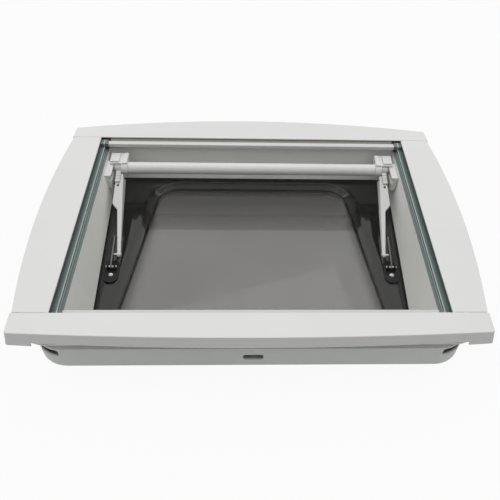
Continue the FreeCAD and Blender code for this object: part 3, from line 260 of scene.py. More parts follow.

# The dome's dark border is painted shade for the frame's shadow below the rim; it starts at the first of two
# distances from the middle and is full at the second.
BORDER_SHADE_SIDES, BORDER_SHADE_ENDS = (212 * MM, 250 * MM), (188 * MM, 214 * MM)
# It comes in towards the back as the tray narrows.
BORDER_SHADE_TAPER = 0.124
# Towards the back the tray gets painted shade too, for the shadow of the back wall, cover and handle, up to a
# share of the border's tint.
BACK_SHADE_RISE, BACK_SHADE_SHARE = (70 * MM, 205 * MM), 0.56

# A painted highlight along the edge of a guide's rib fades from the second to the first distance on both
# sides of the rib's middle.
RIB_MIDDLE, RIB_HIGHLIGHT_SIDES = 317.9 * MM, (1.3 * MM, 0.6 * MM)


def wire(tree, source, target):
    """Wire a socket to an input, or give the input a plain value."""
    if isinstance(source, (int, float, tuple)):
        target.default_value = source
    else:
        tree.links.new(source, target)


def new_finish(name):
    """A material with its node tree and its shader."""
    material = bpy.data.materials.new(name)
    material.use_nodes = True
    return material, material.node_tree, material.node_tree.nodes["Principled BSDF"]


def axes(tree, space="Object"):
    """The X, Y and Z of the piece's own coordinates."""
    place = tree.nodes.new("ShaderNodeTexCoord")
    parts = tree.nodes.new("ShaderNodeSeparateXYZ")
    wire(tree, place.outputs[space], parts.inputs["Vector"])
    return parts.outputs


def speckle(tree, scale, detail=3.0, stretch=None):
    """Noise on the piece's own coordinates."""
    place = tree.nodes.new("ShaderNodeTexCoord")
    source = place.outputs["Object"]
    if stretch:
        mapping = tree.nodes.new("ShaderNodeMapping")
        mapping.inputs["Scale"].default_value = stretch
        wire(tree, source, mapping.inputs["Vector"])
        source = mapping.outputs["Vector"]
    noise = tree.nodes.new("ShaderNodeTexNoise")
    noise.inputs["Scale"].default_value = scale
    noise.inputs["Detail"].default_value = detail
    wire(tree, source, noise.inputs["Vector"])
    return noise.outputs["Fac"]


def ramp(tree, source, low, high):
    """A colour that runs from low to high over the range where noise varies."""
    node = tree.nodes.new("ShaderNodeValToRGB")
    for stop, position, colour in zip(node.color_ramp.elements, NOISE_RANGE, (low, high)):
        stop.position = position
        stop.color = (*colour, 1)
    wire(tree, source, node.inputs["Fac"])
    return node.outputs["Color"]


def remap(tree, source, low, high):
    """A value that runs from low to high over the range where noise varies."""
    node = tree.nodes.new("ShaderNodeMapRange")
    node.inputs["From Min"].default_value, node.inputs["From Max"].default_value = NOISE_RANGE
    node.inputs["To Min"].default_value = low
    node.inputs["To Max"].default_value = high
    wire(tree, source, node.inputs["Value"])
    return node.outputs["Result"]


def bump(tree, source, shader, distance, strength, before=None):
    """Relief from a height, laid over the relief made before it."""
    node = tree.nodes.new("ShaderNodeBump")
    node.inputs["Distance"].default_value = distance
    node.inputs["Strength"].default_value = strength
    wire(tree, source, node.inputs["Height"])
    if before:
        wire(tree, before, node.inputs["Normal"])
    wire(tree, node.outputs["Normal"], shader.inputs["Normal"])
    return node.outputs["Normal"]


def outside(tree, value, low, high):
    """From 0 to 1, smoothly, as a value passes from low to high."""
    node = tree.nodes.new("ShaderNodeMapRange")
    node.interpolation_type = "SMOOTHSTEP"
    node.inputs["From Min"].default_value = low
    node.inputs["From Max"].default_value = high
    wire(tree, value, node.inputs["Value"])
    return node.outputs["Result"]


def calculate(tree, operation, *values):
    """One step of arithmetic on values or sockets."""
    node = tree.nodes.new("ShaderNodeMath")
    node.operation = operation
    for value, target in zip(values, node.inputs):
        wire(tree, value, target)
    return node.outputs["Value"]


def mix(tree, share, first, second, kind="FLOAT"):
    """A value or colour that runs from the first to the second as a share goes from 0 to 1."""
    node = tree.nodes.new("ShaderNodeMix")
    node.data_type = kind
    entry, result = {"FLOAT": (2, 0), "RGBA": (6, 2)}[kind]
    wire(tree, share, node.inputs["Factor"])
    wire(tree, first, node.inputs[entry])
    wire(tree, second, node.inputs[entry + 1])
    return node.outputs[result]


def shade(colour, factor):
    """A colour made lighter or darker."""
    return tuple(min(1.0, channel * factor) for channel in colour)


def moulded(name, colour, roughness, grain, depth, mottle, specular=0.5):
    """Moulded plastic with a fine grain, faint clouding and an uneven sheen."""
    material, tree, shader = new_finish(name)
    cloud = speckle(tree, scale=9, detail=4)
    clouded = ramp(tree, cloud, shade(colour, 1 - mottle), shade(colour, 1 + mottle))
    wire(tree, clouded, shader.inputs["Base Color"])
    sheen = speckle(tree, scale=60, detail=4)
    wire(tree, remap(tree, sheen, roughness - 0.05, roughness + 0.06), shader.inputs["Roughness"])
    waves = bump(tree, speckle(tree, scale=45, detail=2), shader, distance=0.2 * MM, strength=0.12)
    bump(tree, speckle(tree, grain, detail=2), shader, distance=depth, strength=0.35, before=waves)
    shader.inputs["Specular IOR Level"].default_value = specular
    return material


def grooved_guide(name, colour, rib_highlight, roughness):
    """Glossy channel plastic with a painted highlight along the edge of its middle rib."""
    material = moulded(name, colour, roughness, grain=900, depth=0.03 * MM, mottle=0.06)
    tree = material.node_tree
    base = tree.nodes["Principled BSDF"].inputs["Base Color"]
    # Painted highlight: the colour turns light near the rib's middle.
    across = calculate(tree, "SUBTRACT", calculate(tree, "ABSOLUTE", axes(tree)["X"]), RIB_MIDDLE)
    edge = outside(tree, calculate(tree, "ABSOLUTE", across), *RIB_HIGHLIGHT_SIDES)
    wire(tree, mix(tree, edge, base.links[0].from_socket, (*rib_highlight, 1), "RGBA"), base)
    return material


def metal(name, colour, roughness, brush=(1, 1, 1)):
    """Bright or brushed metal with fine lines along one direction."""
    material, tree, shader = new_finish(name)
    shader.inputs["Metallic"].default_value = 1.0
    cloud = speckle(tree, scale=40)
    wire(tree, ramp(tree, cloud, shade(colour, 0.92), shade(colour, 1.04)), shader.inputs["Base Color"])
    lines = speckle(tree, scale=300, stretch=brush)
    wire(tree, remap(tree, lines, roughness * 0.7, roughness * 1.4), shader.inputs["Roughness"])
    bump(tree, lines, shader, distance=0.02 * MM, strength=0.3)
    return material


def smoked_acrylic(name, colour, border, roughness):
    """Polished tinted sheet with painted shade in the border round its tray and towards its back, and a film
    of dust.
    """
    material, tree, shader = new_finish(name)
    shader.inputs["Transmission Weight"].default_value = 1.0
    shader.inputs["IOR"].default_value = 1.49
    # Painted shade: masks for the border round the tray and for the back of the tray.
    x, y, _ = axes(tree)
    taper = calculate(tree, "MULTIPLY", y, BORDER_SHADE_TAPER)
    sideways = calculate(tree, "ADD", calculate(tree, "ABSOLUTE", x), taper)
    edge = calculate(
        tree, "MAXIMUM", outside(tree, sideways, *BORDER_SHADE_SIDES),
        outside(tree, calculate(tree, "ABSOLUTE", y), *BORDER_SHADE_ENDS),
    )
    back = calculate(tree, "MULTIPLY", outside(tree, y, *BACK_SHADE_RISE), BACK_SHADE_SHARE)
    edge = calculate(tree, "MAXIMUM", edge, back)
    cloud = ramp(tree, speckle(tree, scale=5), shade(colour, 0.97), shade(colour, 1.03))
    # The painted shade darkens the tint towards the border's colour.
    wire(tree, mix(tree, edge, cloud, (*border, 1), "RGBA"), shader.inputs["Base Color"])
    film = speckle(tree, scale=14, detail=4)
    wire(tree, remap(tree, film, roughness * 0.6, roughness * 1.6), shader.inputs["Roughness"])
    return material


def pleated_cloth(name, colour, weave):
    """Fine woven cloth with threads both ways."""
    material, tree, shader = new_finish(name)
    place = tree.nodes.new("ShaderNodeTexCoord")
    heights = []
    for direction in ("X", "Z"):
        threads = tree.nodes.new("ShaderNodeTexWave")
        threads.bands_direction = direction
        threads.inputs["Scale"].default_value = weave
        threads.inputs["Distortion"].default_value = 0.6
        wire(tree, place.outputs["Object"], threads.inputs["Vector"])
        heights.append(threads.outputs["Fac"])
    height = calculate(tree, "MAXIMUM", *heights)
    wire(tree, ramp(tree, height, shade(colour, 0.82), colour), shader.inputs["Base Color"])
    bump(tree, height, shader, distance=0.1 * MM, strength=0.5)
    shader.inputs["Roughness"].default_value = 0.9
    shader.inputs["Sheen Weight"].default_value = 0.15
    return material


class HatchSizes(PropertyGroup):
    """Sizes and colours that a user would change."""

    edge_radius: FloatProperty(
        name="Trim edge", description="Radius of the trim's outer edges", default=2.2 * MM, unit="LENGTH"
    )
    lip_width: FloatProperty(
        name="Trim lip", description="Width of the lip beside the opening", default=8 * MM, unit="LENGTH"
    )
    dome_edge: FloatProperty(
        name="Dome edge", description="Radius where the dome's walls meet its floor",
        default=13 * MM, unit="LENGTH",
    )
    pleats: IntProperty(name="Pleats", description="Folds in the blackout blind", default=34, min=4, max=60)
    screen_pleats: IntProperty(
        name="Screen pleats", description="Folds in the flyscreen", default=52, min=4, max=60
    )
    trim_colour: FloatVectorProperty(
        name="Trim", description="Colour of the trim", default=(0.69, 0.69, 0.684), size=3, subtype="COLOR"
    )
    # Painted light: the walls are the trim's plastic with a warm tint of their own, made brighter to make up
    # for the light they lack in the opening.
    wall_colour: FloatVectorProperty(
        name="Walls", description="Colour of the inner walls",
        default=(0.90, 0.90, 0.865), size=3, subtype="COLOR",
    )
    frame_colour: FloatVectorProperty(
        name="Outer frame", description="Colour of the outer frame",
        default=(0.655, 0.68, 0.655), size=3, subtype="COLOR",
    )
    smoke_colour: FloatVectorProperty(
        name="Smoke", description="Tint of each dome skin",
        default=(0.43, 0.427, 0.417), size=3, subtype="COLOR",
    )
    # Painted shade: the skins' darker tint round the tray stands in for the frame's shadow seen through the
    # dome.
    border_colour: FloatVectorProperty(
        name="Border", description="Tint of each skin round the tray",
        default=(0.13, 0.13, 0.125), size=3, subtype="COLOR",
    )


def sizes():
    """The sizes and colours set in the scene."""
    return bpy.context.scene.hatch_sizes


# A colour, given or named after its setting, then roughness, grain, the grain's depth in mm, mottle and
# specular level
PLASTICS = {
    "Trim white": ("trim_colour", 0.36, 1500, 0.04, 0.012, 0.5),
    # Wall white is brighter than the trim white: painted light for the walls inside the opening.
    "Wall white": ("wall_colour", 0.5, 1100, 0.08, 0.03, 0.5),
    "Outer frame grey": ("frame_colour", 0.45, 1000, 0.08, 0.03, 0.5),
    # Rail white is the trim's white made darker, as painted shade for the end rails in the opening.
    "Rail white": ((0.61, 0.615, 0.60), 0.42, 1200, 0.04, 0.02, 0.5),
    "Catch white": ((0.66, 0.66, 0.64), 0.42, 1200, 0.04, 0.02, 0.5),
    # Arm white is the white plastic made darker, as painted shade for the arms deep in the opening.
    "Arm white": ((0.56, 0.56, 0.546), 0.4, 1300, 0.05, 0.02, 0.5),
    "Fitting black": ((0.010, 0.011, 0.011), 0.42, 900, 0.06, 0.2, 0.3),
    "Button grey": ((0.66, 0.66, 0.65), 0.35, 1300, 0.04, 0.02, 0.5),
    "Tube white": ((0.70, 0.70, 0.69), 0.22, 500, 0.03, 0.02, 0.5),
    "Rubber black": ((0.02, 0.02, 0.02), 0.75, 700, 0.1, 0.2, 0.3),
}
# The maker of each other finish and what it takes
OTHER_FINISHES = {
    # The guide's second colour is the painted highlight on its rib.
    "Guide grey": (grooved_guide, (0.135, 0.175, 0.165), (0.50, 0.56, 0.55), 0.3),
    "Bright chrome": (metal, (0.80, 0.80, 0.81), 0.18),
    "Link steel": (metal, (0.22, 0.22, 0.22), 0.34, (12, 1, 1)),
    # The second colour of the smoked acrylic is its painted shade round the tray.
    "Smoked acrylic": (smoked_acrylic, "smoke_colour", "border_colour", 0.012),
    "Blackout cloth": (pleated_cloth, (0.62, 0.60, 0.55), 260),
    "Screen cloth": (pleated_cloth, (0.035, 0.035, 0.035), 200),
}
FINISHES = {}


def make_finish(name):
    """Make a finish from the tables, with the colours that are set in the scene."""
    if name in PLASTICS:
        colour, roughness, grain, depth, mottle, specular = PLASTICS[name]
        maker, values = moulded, (colour, roughness, grain, depth * MM, mottle, specular)
    else:
        maker, *values = OTHER_FINISHES[name]
    values = [tuple(getattr(sizes(), value)) if isinstance(value, str) else value for value in values]
    return maker(name, *values)


def finish_named(name):
    """The finishes of the hatch, each made once."""
    if name not in FINISHES:
        FINISHES[name] = make_finish(name)
    return FINISHES[name]


# Trim covers

COVER_BOTTOM, COVER_TOP, COVER_WALL = 122 * MM, 150 * MM, 3 * MM


def finish_cover(piece, radius, segments, bevel_angle, smooth_angle):
    """Give an open cover its wall and round its edges."""
    leave_edit()
    flip_outwards(piece)
    modify(piece, "SOLIDIFY", thickness=COVER_WALL, offset=-1, use_even_offset=True)
    round_edges(piece, radius, segments=segments, angle=bevel_angle)
    smooth(piece, smooth_angle)


def add_long_cover(name):
    """The back cover: a block that is bowed, crowned, arched below, hollowed and rounded."""
    half, inner, outer = 385 * MM, 232 * MM, 269 * MM
    rings, foot = 10, 351 * MM
    bow, crown, fall, arch = 17 * MM, 11 * MM, 3 * MM, 6 * MM
    flare, foot_flare, foot_depth = 6 * MM, 8 * MM, 8.5 * MM

    def outer_at(across):
        """A test for the points of one ring that lie on the outer side."""
        return lambda vertex: abs(vertex.co.x - across) < NEAR and vertex.co.y > inner + AWAY

    piece = add_block(name, (-half, inner, COVER_BOTTOM), (half, outer, COVER_TOP))
    pick("EDGE", lambda edge: abs(edge.verts[0].co.x - edge.verts[1].co.x) > half)
    bpy.ops.mesh.subdivide(number_cuts=2 * rings - 1)
    for side in (-1, 1):
        pick_all()
        bpy.ops.mesh.bisect(plane_co=(foot * side, 0, 0), plane_no=(1, 0, 0))
    for across in sorted([ring * half / rings for ring in range(-rings, rings + 1)] + [-foot, foot]):
        share = 1 - (across / half) ** 2
        pick("VERT", outer_at(across))
        move(0, bow * share, 0)
        pick("VERT", lambda vertex: outer_at(across)(vertex) and vertex.co.z > COVER_TOP - AWAY)
        move(0, 0, crown * share - fall)
        if abs(across) < foot - AWAY:
            pick(
                "VERT", lambda vertex: abs(vertex.co.x - across) < NEAR and vertex.co.z < COVER_BOTTOM + NEAR
            )
            move(0, 0, arch * (1 - (across / foot) ** 2))
    pick("VERT", lambda vertex: abs(vertex.co.x) > half - NEAR and vertex.co.z < COVER_BOTTOM + NEAR)
    widen((half + flare) / half)
    pick(
        "FACE",
        lambda face: face.normal.z < -ALONG and face.calc_center_median().z < COVER_BOTTOM + arch + NEAR
        or face.calc_center_median().y < inner + NEAR,
    )
    bpy.ops.mesh.delete(type="FACE")
    pick(
        "EDGE",
        lambda edge: is_upright(edge) and middle(edge).y > inner + AWAY and abs(middle(edge).x) > half - AWAY,
    )
    bpy.ops.mesh.bevel(offset=4 * MM, segments=6)
    pick("EDGE", lambda edge: level_edge(COVER_BOTTOM)(edge) and abs(middle(edge).x) > foot)
    bpy.ops.mesh.extrude_region_move(TRANSFORM_OT_translate={"value": (0, 0, -foot_depth)})
    pick("VERT", lambda vertex: abs(vertex.co.x) > half and vertex.co.z < COVER_BOTTOM - AWAY)
    widen((half + foot_flare) / (half + flare))
    finish_cover(piece, sizes().edge_radius, segments=4, bevel_angle=40, smooth_angle=40)
    return piece


def add_side_cover(name):
    """The right cover: flat top, bowed outer edge and a lip beside the opening."""
    inner, outer, end = 325 * MM, 382.5 * MM, 231.85 * MM
    rings, bow = 8, 17.5 * MM
    lip, lip_drop = sizes().lip_width, 1 * MM
    piece = add_block(name, (inner, -end, COVER_BOTTOM), (outer, end, COVER_TOP))
    pick("EDGE", lambda edge: abs(edge.verts[0].co.y - edge.verts[1].co.y) > end)
    bpy.ops.mesh.subdivide(number_cuts=2 * rings - 1)
    for ring in range(-rings, rings + 1):
        along = ring * end / rings
        pick("VERT", lambda vertex: abs(vertex.co.y - along) < NEAR and vertex.co.x > inner + AWAY)
        move(bow * (1 - (along / end) ** 2), 0, 0)
    pick_all()
    bpy.ops.mesh.bisect(plane_co=(inner + lip, 0, 0), plane_no=(1, 0, 0))
    pick("VERT", lambda vertex: vertex.co.z > COVER_TOP - NEAR and vertex.co.x < inner + lip / 2)
    move(0, 0, -lip_drop)
    pick(
        "FACE",
        lambda face: face.calc_center_median().z < COVER_BOTTOM + NEAR
        or face.calc_center_median().x < inner + NEAR or abs(face.calc_center_median().y) > end - NEAR,
    )
    bpy.ops.mesh.delete(type="FACE")
    finish_cover(piece, sizes().edge_radius * 0.6, segments=3, bevel_angle=15, smooth_angle=30)
    return piece


def turned_copy(piece, name):
    """A copy with its own mesh, turned half way round the upright axis."""
    take(piece)
    bpy.ops.object.duplicate()
    copy = bpy.context.object
    copy.name = name
    copy.scale = (-1, -1, 1)
    bpy.ops.object.transform_apply(location=True, rotation=True, scale=True)
    return copy


class HATCH_OT_trim(Operator):
    """Add the four trim covers round the opening"""

    bl_idname = "hatch.trim"
    bl_label = "Trim Covers"

    def execute(self, context):
        back = add_long_cover("trim_back")
        front = turned_copy(back, "trim_front")
        right = add_side_cover("trim_right")
        left = turned_copy(right, "trim_left")
        for piece, side in ((back, "back"), (front, "front"), (right, "right"), (left, "left")):
            dress(piece, "Trim white", "frame", f"cover_{side}")
        return {"FINISHED"}


# Inner and outer frames


class HATCH_OT_inner_frame(Operator):
    """Add the neck that leans in through the roof and its flange"""

    bl_idname = "hatch.inner_frame"
    bl_label = "Inner Frame"

    def execute(self, context):
        wide, deep, low, high = 311 * MM, 232 * MM, 50 * MM, 126 * MM
        front_taper, back_taper, lean = 25 * MM, 3 * MM, 16 * MM
        neck = add_block("neck", (-wide, -deep, low), (wide, deep, high))
        for across in (-1, 1):
            for along, taper in ((-1, front_taper), (1, back_taper)):
                pick(
                    "VERT",
                    lambda vertex: vertex.co.x * across > 0 and vertex.co.y * along > 0
                    and vertex.co.z < low + AWAY,
                )
                move(-across * taper, -along * lean, 0)
        pick("FACE", lambda face: abs(face.normal.z) > ALONG)
        bpy.ops.mesh.delete(type="FACE")
        pick("EDGE", lambda edge: abs(edge.verts[0].co.z - edge.verts[1].co.z) > (high - low) / 2)
        bpy.ops.mesh.bevel(offset=5 * MM, segments=5)
        leave_edit()
        flip_outwards(neck)
        modify(neck, "SOLIDIFY", thickness=3 * MM, offset=1, use_even_offset=True)
        flip_outwards(neck)
        round_edges(neck, 0.9 * MM, segments=3, angle=30)
        wide, deep = 372 * MM, 270 * MM
        flange = add_block("flange", (-wide, -deep, 113.5 * MM), (wide, deep, 116 * MM))
        pick("EDGE", is_upright)
        bpy.ops.mesh.bevel(offset=40 * MM, segments=12)
        wide, deep = 312 * MM, 231 * MM
        hole = add_block("flange_hole", (-wide, -deep, 100 * MM), (wide, deep, 130 * MM))
        leave_edit()
        carve(flange, hole)
        round_edges(flange, 0.4 * MM, segments=2, angle=40)
        piece = join("neck_and_flange", [neck, flange])
        smooth(piece, 30)
        dress(piece, "Wall white", "frame", "inner_frame")
        return {"FINISHED"}


def deepen_slots():
    """Lower the bottom edges of the slots, more at the corners than in the middle."""
    middle_slots, corner_slots = (64 * MM, 70.5 * MM, 2 * MM), (78 * MM, 84.6 * MM, 4.5 * MM)
    for low, high, drop in (middle_slots, corner_slots):
        pick("VERT", lambda vertex: low < vertex.co.z < high)
        move(0, 0, -drop)


class HATCH_OT_outer_frame(Operator):
    """Add the hollow frame outside the roof with its slots"""

    bl_idname = "hatch.outer_frame"
    bl_label = "Outer Frame"

    def execute(self, context):
        dress_node(
            "outer_frame", "outer_ring", 1.6 * MM,
            "Outer frame grey", "frame", "outer_frame", segments=3, angle=40, shape=deepen_slots,
        )
        return {"FINISHED"}


# Dome


def add_rounded_face(corners, height, radius):
    """A flat four-sided face with round corners, and the places of its points."""
    leave_edit()
    bpy.ops.mesh.primitive_plane_add(size=1, location=(0, 0, 0))
    bpy.ops.object.mode_set(mode="EDIT")
    signs = ((-1, -1), (1, -1), (1, 1), (-1, 1))
    for (across, along), (x, y) in zip(signs, corners):
        pick("VERT", lambda vertex: vertex.co.z == 0 and vertex.co.x * across > 0 and vertex.co.y * along > 0)
        move(x - across / 2, y - along / 2, height)
    pick_all()
    bpy.ops.mesh.bevel(offset=radius, segments=14, affect="VERTICES")
    leave_edit()
    face = bpy.context.object
    return face, {place_of(vertex) for vertex in face.data.vertices}


def place_of(vertex):
    """A point's place, rounded so that two points at one place compare equal."""
    return tuple(round(part, 5) for part in vertex.co)


def ring_edge(*rings):
    """A test for the edges that run along one of the rings."""
    return lambda edge: any(all(place_of(vertex) in ring for vertex in edge.verts) for ring in rings)


def add_skin(name, steps, bends, thickness):
    """A formed sheet: rings bridged from rim to floor, its bends rounded, then given its thickness.

    Each step gives a ring's corners, height and corner radius, each bend its width.
    """
    faces, rings = [], []
    for corners, height, radius in steps:
        face, ring = add_rounded_face(corners, height, radius)
        if len(faces) < len(steps) - 1:
            edit(face)
            pick_all()
            bpy.ops.mesh.delete(type="ONLY_FACE")
        faces.append(face)
        rings.append(ring)
    piece = join(name, faces)
    for outer, inner in zip(rings, rings[1:]):
        edit(piece)
        pick("EDGE", ring_edge(outer, inner))
        bpy.ops.mesh.bridge_edge_loops()
    for ring, width in zip(rings[1:], bends):
        pick("EDGE", ring_edge(ring))
        bpy.ops.mesh.bevel(offset=width, segments=8)
    leave_edit()
    flip_outwards(piece)
    edit(piece)
    rim_height = steps[0][1]
    pick("FACE", lambda face: face.calc_center_median().z > rim_height - NEAR)
    mesh = bmesh.from_edit_mesh(piece.data)
    if sum(face.normal.z for face in mesh.faces if face.select) < 0:
        pick_all()
        bpy.ops.mesh.flip_normals()
    leave_edit()
    modify(piece, "SOLIDIFY", thickness=thickness, offset=-1)
    round_edges(piece, 0.4 * MM, segments=2, angle=60)
    smooth(piece, 60)
    return piece


def box_corners(low_x, high_x, low_y, high_y):
    """The corners of a rectangle."""
    return ((low_x, low_y), (high_x, low_y), (high_x, high_y), (low_x, high_y))


def wedge_corners(front_half, back_half, low_y, high_y):
    """The corners of a shape that narrows towards the back."""
    return ((-front_half, low_y), (front_half, low_y), (back_half, high_y), (-back_half, high_y))


class HATCH_OT_dome(Operator):
    """Add the two smoked skins of the dome"""

    bl_idname = "hatch.dome"
    bl_label = "Dome"

    def execute(self, context):
        edge = sizes().dome_edge
        inner_skin, outer_skin = 2.45 * MM, 2.5 * MM
        rim = box_corners(-0.350, 0.350, -0.246, 0.254)
        tray = add_skin(
            "smoked_inner_skin",
            (
                (rim, 42.5 * MM, 45 * MM),
                (wedge_corners(0.277, 0.224, -0.215, 0.212), 42.5 * MM, 60 * MM),
                (wedge_corners(0.250, 0.197, -0.198, 0.195), 24 * MM, 33 * MM),
            ),
            (edge * 0.45, edge), inner_skin,
        )
        dress(tray, "Smoked acrylic", "dome", "dome_inner_skin")
        shell = add_skin(
            "smoked_outer_skin",
            (
                (rim, 40 * MM, 45 * MM),
                (box_corners(-0.331, 0.331, -0.227, 0.235), 40 * MM, 70 * MM),
                (box_corners(-0.291, 0.291, -0.187, 0.195), 6.5 * MM, 30 * MM),
                (wedge_corners(0.256, 0.219, -0.155, 0.133), 2.5 * MM, 26 * MM),
            ),
            (edge, edge, edge * 0.25), outer_skin,
        )
        dress(shell, "Smoked acrylic", "dome", "dome_outer_skin")
        return {"FINISHED"}


class HATCH_OT_seal(Operator):
    """Add the dome's seal"""

    bl_idname = "hatch.seal"
    bl_label = "Seal"

    def execute(self, context):
        dress_node(
            "dome_seal", "seal_ring", 1 * MM, "Rubber black", "frame", "seal_rubber", segments=3, angle=40,
        )
        return {"FINISHED"}


# Blinds

PACK_START, PACK_END, PACK_DEPTH = 258.9 * MM, 233 * MM, 25.9 * MM
CLOTH_WIDTH, CLOTH_THICKNESS = 614 * MM, 0.14 * MM


def add_pleats(name, way, low, high, folds):
    """A packed pleated sheet, extruded fold by fold from its anchor bar."""
    step = (PACK_END - PACK_START) / folds
    half = 0.5
    leave_edit()
    bpy.ops.mesh.primitive_plane_add(size=2 * half, location=(0, 0, 0))
    piece = bpy.context.object
    piece.name = name
    bpy.ops.object.mode_set(mode="EDIT")
    pick("VERT", lambda vertex: vertex.co.y > 0)
    bpy.ops.mesh.delete(type="VERT")
    pick_all()
    widen(CLOTH_WIDTH)
    move(0, half + PACK_START, low)
    for fold in range(folds):
        rise = (high - low) if fold % 2 == 0 else (low - high)
        bpy.ops.mesh.extrude_region_move(TRANSFORM_OT_translate={"value": (0, step, rise)})
    if way < 0:
        pick_all()
        widen(-1, -1)
    leave_edit()
    modify(piece, "SOLIDIFY", thickness=CLOTH_THICKNESS, offset=0)
    return piece


def add_ledged_rail(name, node):
    """An end rail with a ledge along its upper back edge."""
    low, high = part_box(node)
    deep, tall, past = 5 * MM, 4 * MM, 10 * MM
    rail = add_block(name, low, high)
    ledge = add_block(
        "rail_ledge",
        (low[0] - past, high[1] - deep, high[2] - tall), (high[0] + past, high[1] + past, high[2] + past),
    )
    leave_edit()
    carve(rail, ledge)
    round_edges(rail, 1.6 * MM, segments=4, angle=40)
    smooth(rail, 40)
    return rail


class HATCH_OT_blinds(Operator):
    """Add the end rails, sliders, anchor bars and pleats of both blinds"""

    bl_idname = "hatch.blinds"
    bl_label = "Blinds"

    def execute(self, context):
        rail = add_ledged_rail("blackout_rail", "blackout_end_rail")
        dress(rail, "Rail white", "blackout_blind", "blackout_end_rail")
        dress_node("flyscreen_end_rail", "flyscreen_rail", 0, "Rail white", "flyscreen_blind", "white_trim")
        for kind in ("blackout", "flyscreen"):
            dress_node(
                f"{kind}_sliders", f"{kind}_glides", 0.6 * MM,
                "Guide grey", f"{kind}_blind", "slider_nylon",
            )
            dress_node(f"{kind}_anchor_bar", f"{kind}_bar", 0.4 * MM, "Guide grey", "frame", "guide_grey")
        levels = {
            # The pack's lowest and highest points, its side of the hatch and its half pleats
            "blackout": (136.6 * MM, 143.9 * MM, 1, sizes().pleats * 2),
            "flyscreen": (128.6 * MM, 133.2 * MM, -1, sizes().screen_pleats * 2),
        }
        cloths = {
            "blackout": ("Blackout cloth", "blackout_fabric"),
            "flyscreen": ("Screen cloth", "screen_fabric"),
        }
        for kind, (low, high, way, folds) in levels.items():
            piece = add_pleats(f"{kind}_folds", way, low, high, folds)
            cloth, slot = cloths[kind]
            dress(piece, cloth, None, f"{kind}_pleats")
            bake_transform(piece)
        return {"FINISHED"}


class HATCH_OT_guides(Operator):
    """Add the guide rails of the blinds"""

    bl_idname = "hatch.guides"
    bl_label = "Guide Rails"

    def execute(self, context):
        for side in ("left", "right"):
            dress_node(f"guide_rail_{side}", f"guide_{side}", 0.4 * MM, "Guide grey", "frame", "guide_grey")
        return {"FINISHED"}


# Handle, arms and fittings


class HATCH_OT_handle(Operator):
    """Add the handle tube, its end blocks, clips and lock buttons"""

    bl_idname = "hatch.handle"
    bl_label = "Handle"

    def execute(self, context):
        half, along, height = 265 * MM, 178 * MM, 110 * MM
        radius = 12.5 * MM
        tube = add_round("grip_tube", radius, (-half, along, height), (half, along, height), sides=96)
        round_edges(tube, 0.8 * MM, segments=3, angle=40)
        smooth(tube, 30)
        dress(tube, "Tube white", "handle", "handle_tube")
        for side in ("left", "right"):
            dress_node(
                f"end_block_{side}", f"grip_end_{side}", 0.9 * MM,
                "Trim white", "handle", "white_trim", segments=3,
            )
            dress_node(
                f"lock_button_{side}", f"button_{side}", 0.7 * MM,
                "Button grey", f"lock_{side}", "button_grey",
            )
        dress_node("pivot_clips", "clips", 0.2 * MM, "Bright chrome", "handle", "bright_steel")
        return {"FINISHED"}


ARM_FOOT = Vector((0, -51 * MM, 51.5 * MM))
ARM_TURN = math.atan2(58.5, 229)


def on_arm(point):
    """How far a point lies along the arm and above its middle plane."""
    away = point - ARM_FOOT
    along = away.y * math.cos(ARM_TURN) + away.z * math.sin(ARM_TURN)
    return along, away.z * math.cos(ARM_TURN) - away.y * math.sin(ARM_TURN)


def inner_edge(along):
    """How far the arm's inner edge lies from the middle of the hatch."""
    foot, foot_along, slope = 259.2 * MM, 31.2 * MM, 0.082
    return foot + (along - foot_along) * slope


def shape_arm(way):
    """Raise the floors of the grooves at the root and draw the inner edge back to make room for its web."""
    floor, rise, side = 3.5 * MM, 2.6 * MM, 278 * MM
    root_start, root_end = 199 * MM, 219 * MM
    corner, edge = 218.4 * MM, 268.5 * MM

    def in_groove(vertex):
        along, above = on_arm(vertex.co)
        return abs(above - floor) < 0.3 * MM and root_start < along < root_end and abs(vertex.co.x) > side

    def at_corner(vertex):
        return abs(on_arm(vertex.co)[0] - corner) < 0.6 * MM and abs(vertex.co.x * way - edge) < 0.4 * MM

    pick("VERT", in_groove)
    move(0, -math.sin(ARM_TURN) * rise, math.cos(ARM_TURN) * rise)
    pick("VERT", at_corner)
    move(way * (inner_edge(corner) - edge), 0, 0)


def add_web(name, way):
    """The slanting web along the arm's inner edge, deeper towards the handle."""
    start, end, thick = 60 * MM, 212 * MM, 1.5 * MM
    low, high, deeper, slant = -4 * MM, 1.3 * MM, 8 * MM, 3 * MM
    piece = add_block(name, (0, start, low), (thick, end, high))
    for at_end in (False, True):
        place = way * inner_edge(end if at_end else start)
        pick("VERT", lambda vertex: (vertex.co.y > start + AWAY) == at_end)
        move(place if way > 0 else place - thick, 0, 0)
    pick("VERT", lambda vertex: vertex.co.y > start + AWAY and vertex.co.z < 0)
    move(-way * slant, 0, -deeper)
    pick_all()
    bpy.ops.transform.rotate(value=-ARM_TURN, orient_axis="X", center_override=(0, 0, 0))
    move(*ARM_FOOT)
    leave_edit()
    round_edges(piece, 0.4 * MM, segments=2, angle=40)
    smooth(piece)
    return piece


class HATCH_OT_arms(Operator):
    """Add the arms, their steel links and rivets"""

    bl_idname = "hatch.arms"
    bl_label = "Arms"

    def execute(self, context):
        for side, way in (("left", -1), ("right", 1)):
            arm = soften(f"arm_{side}", "arm_plate", 0.8 * MM, segments=3, shape=lambda: shape_arm(way))
            arm = join(f"stay_{side}", [arm, add_web("arm_web", way)])
            dress(arm, "Arm white", "arms", f"arm_{side}")
            dress_node(f"arm_link_{side}", f"link_{side}", 0.4 * MM, "Link steel", "arms", "link_steel")
        dress_node("arm_rivets", "rivets", 0.5 * MM, "Bright chrome", "arms", "bright_steel", segments=3)
        return {"FINISHED"}


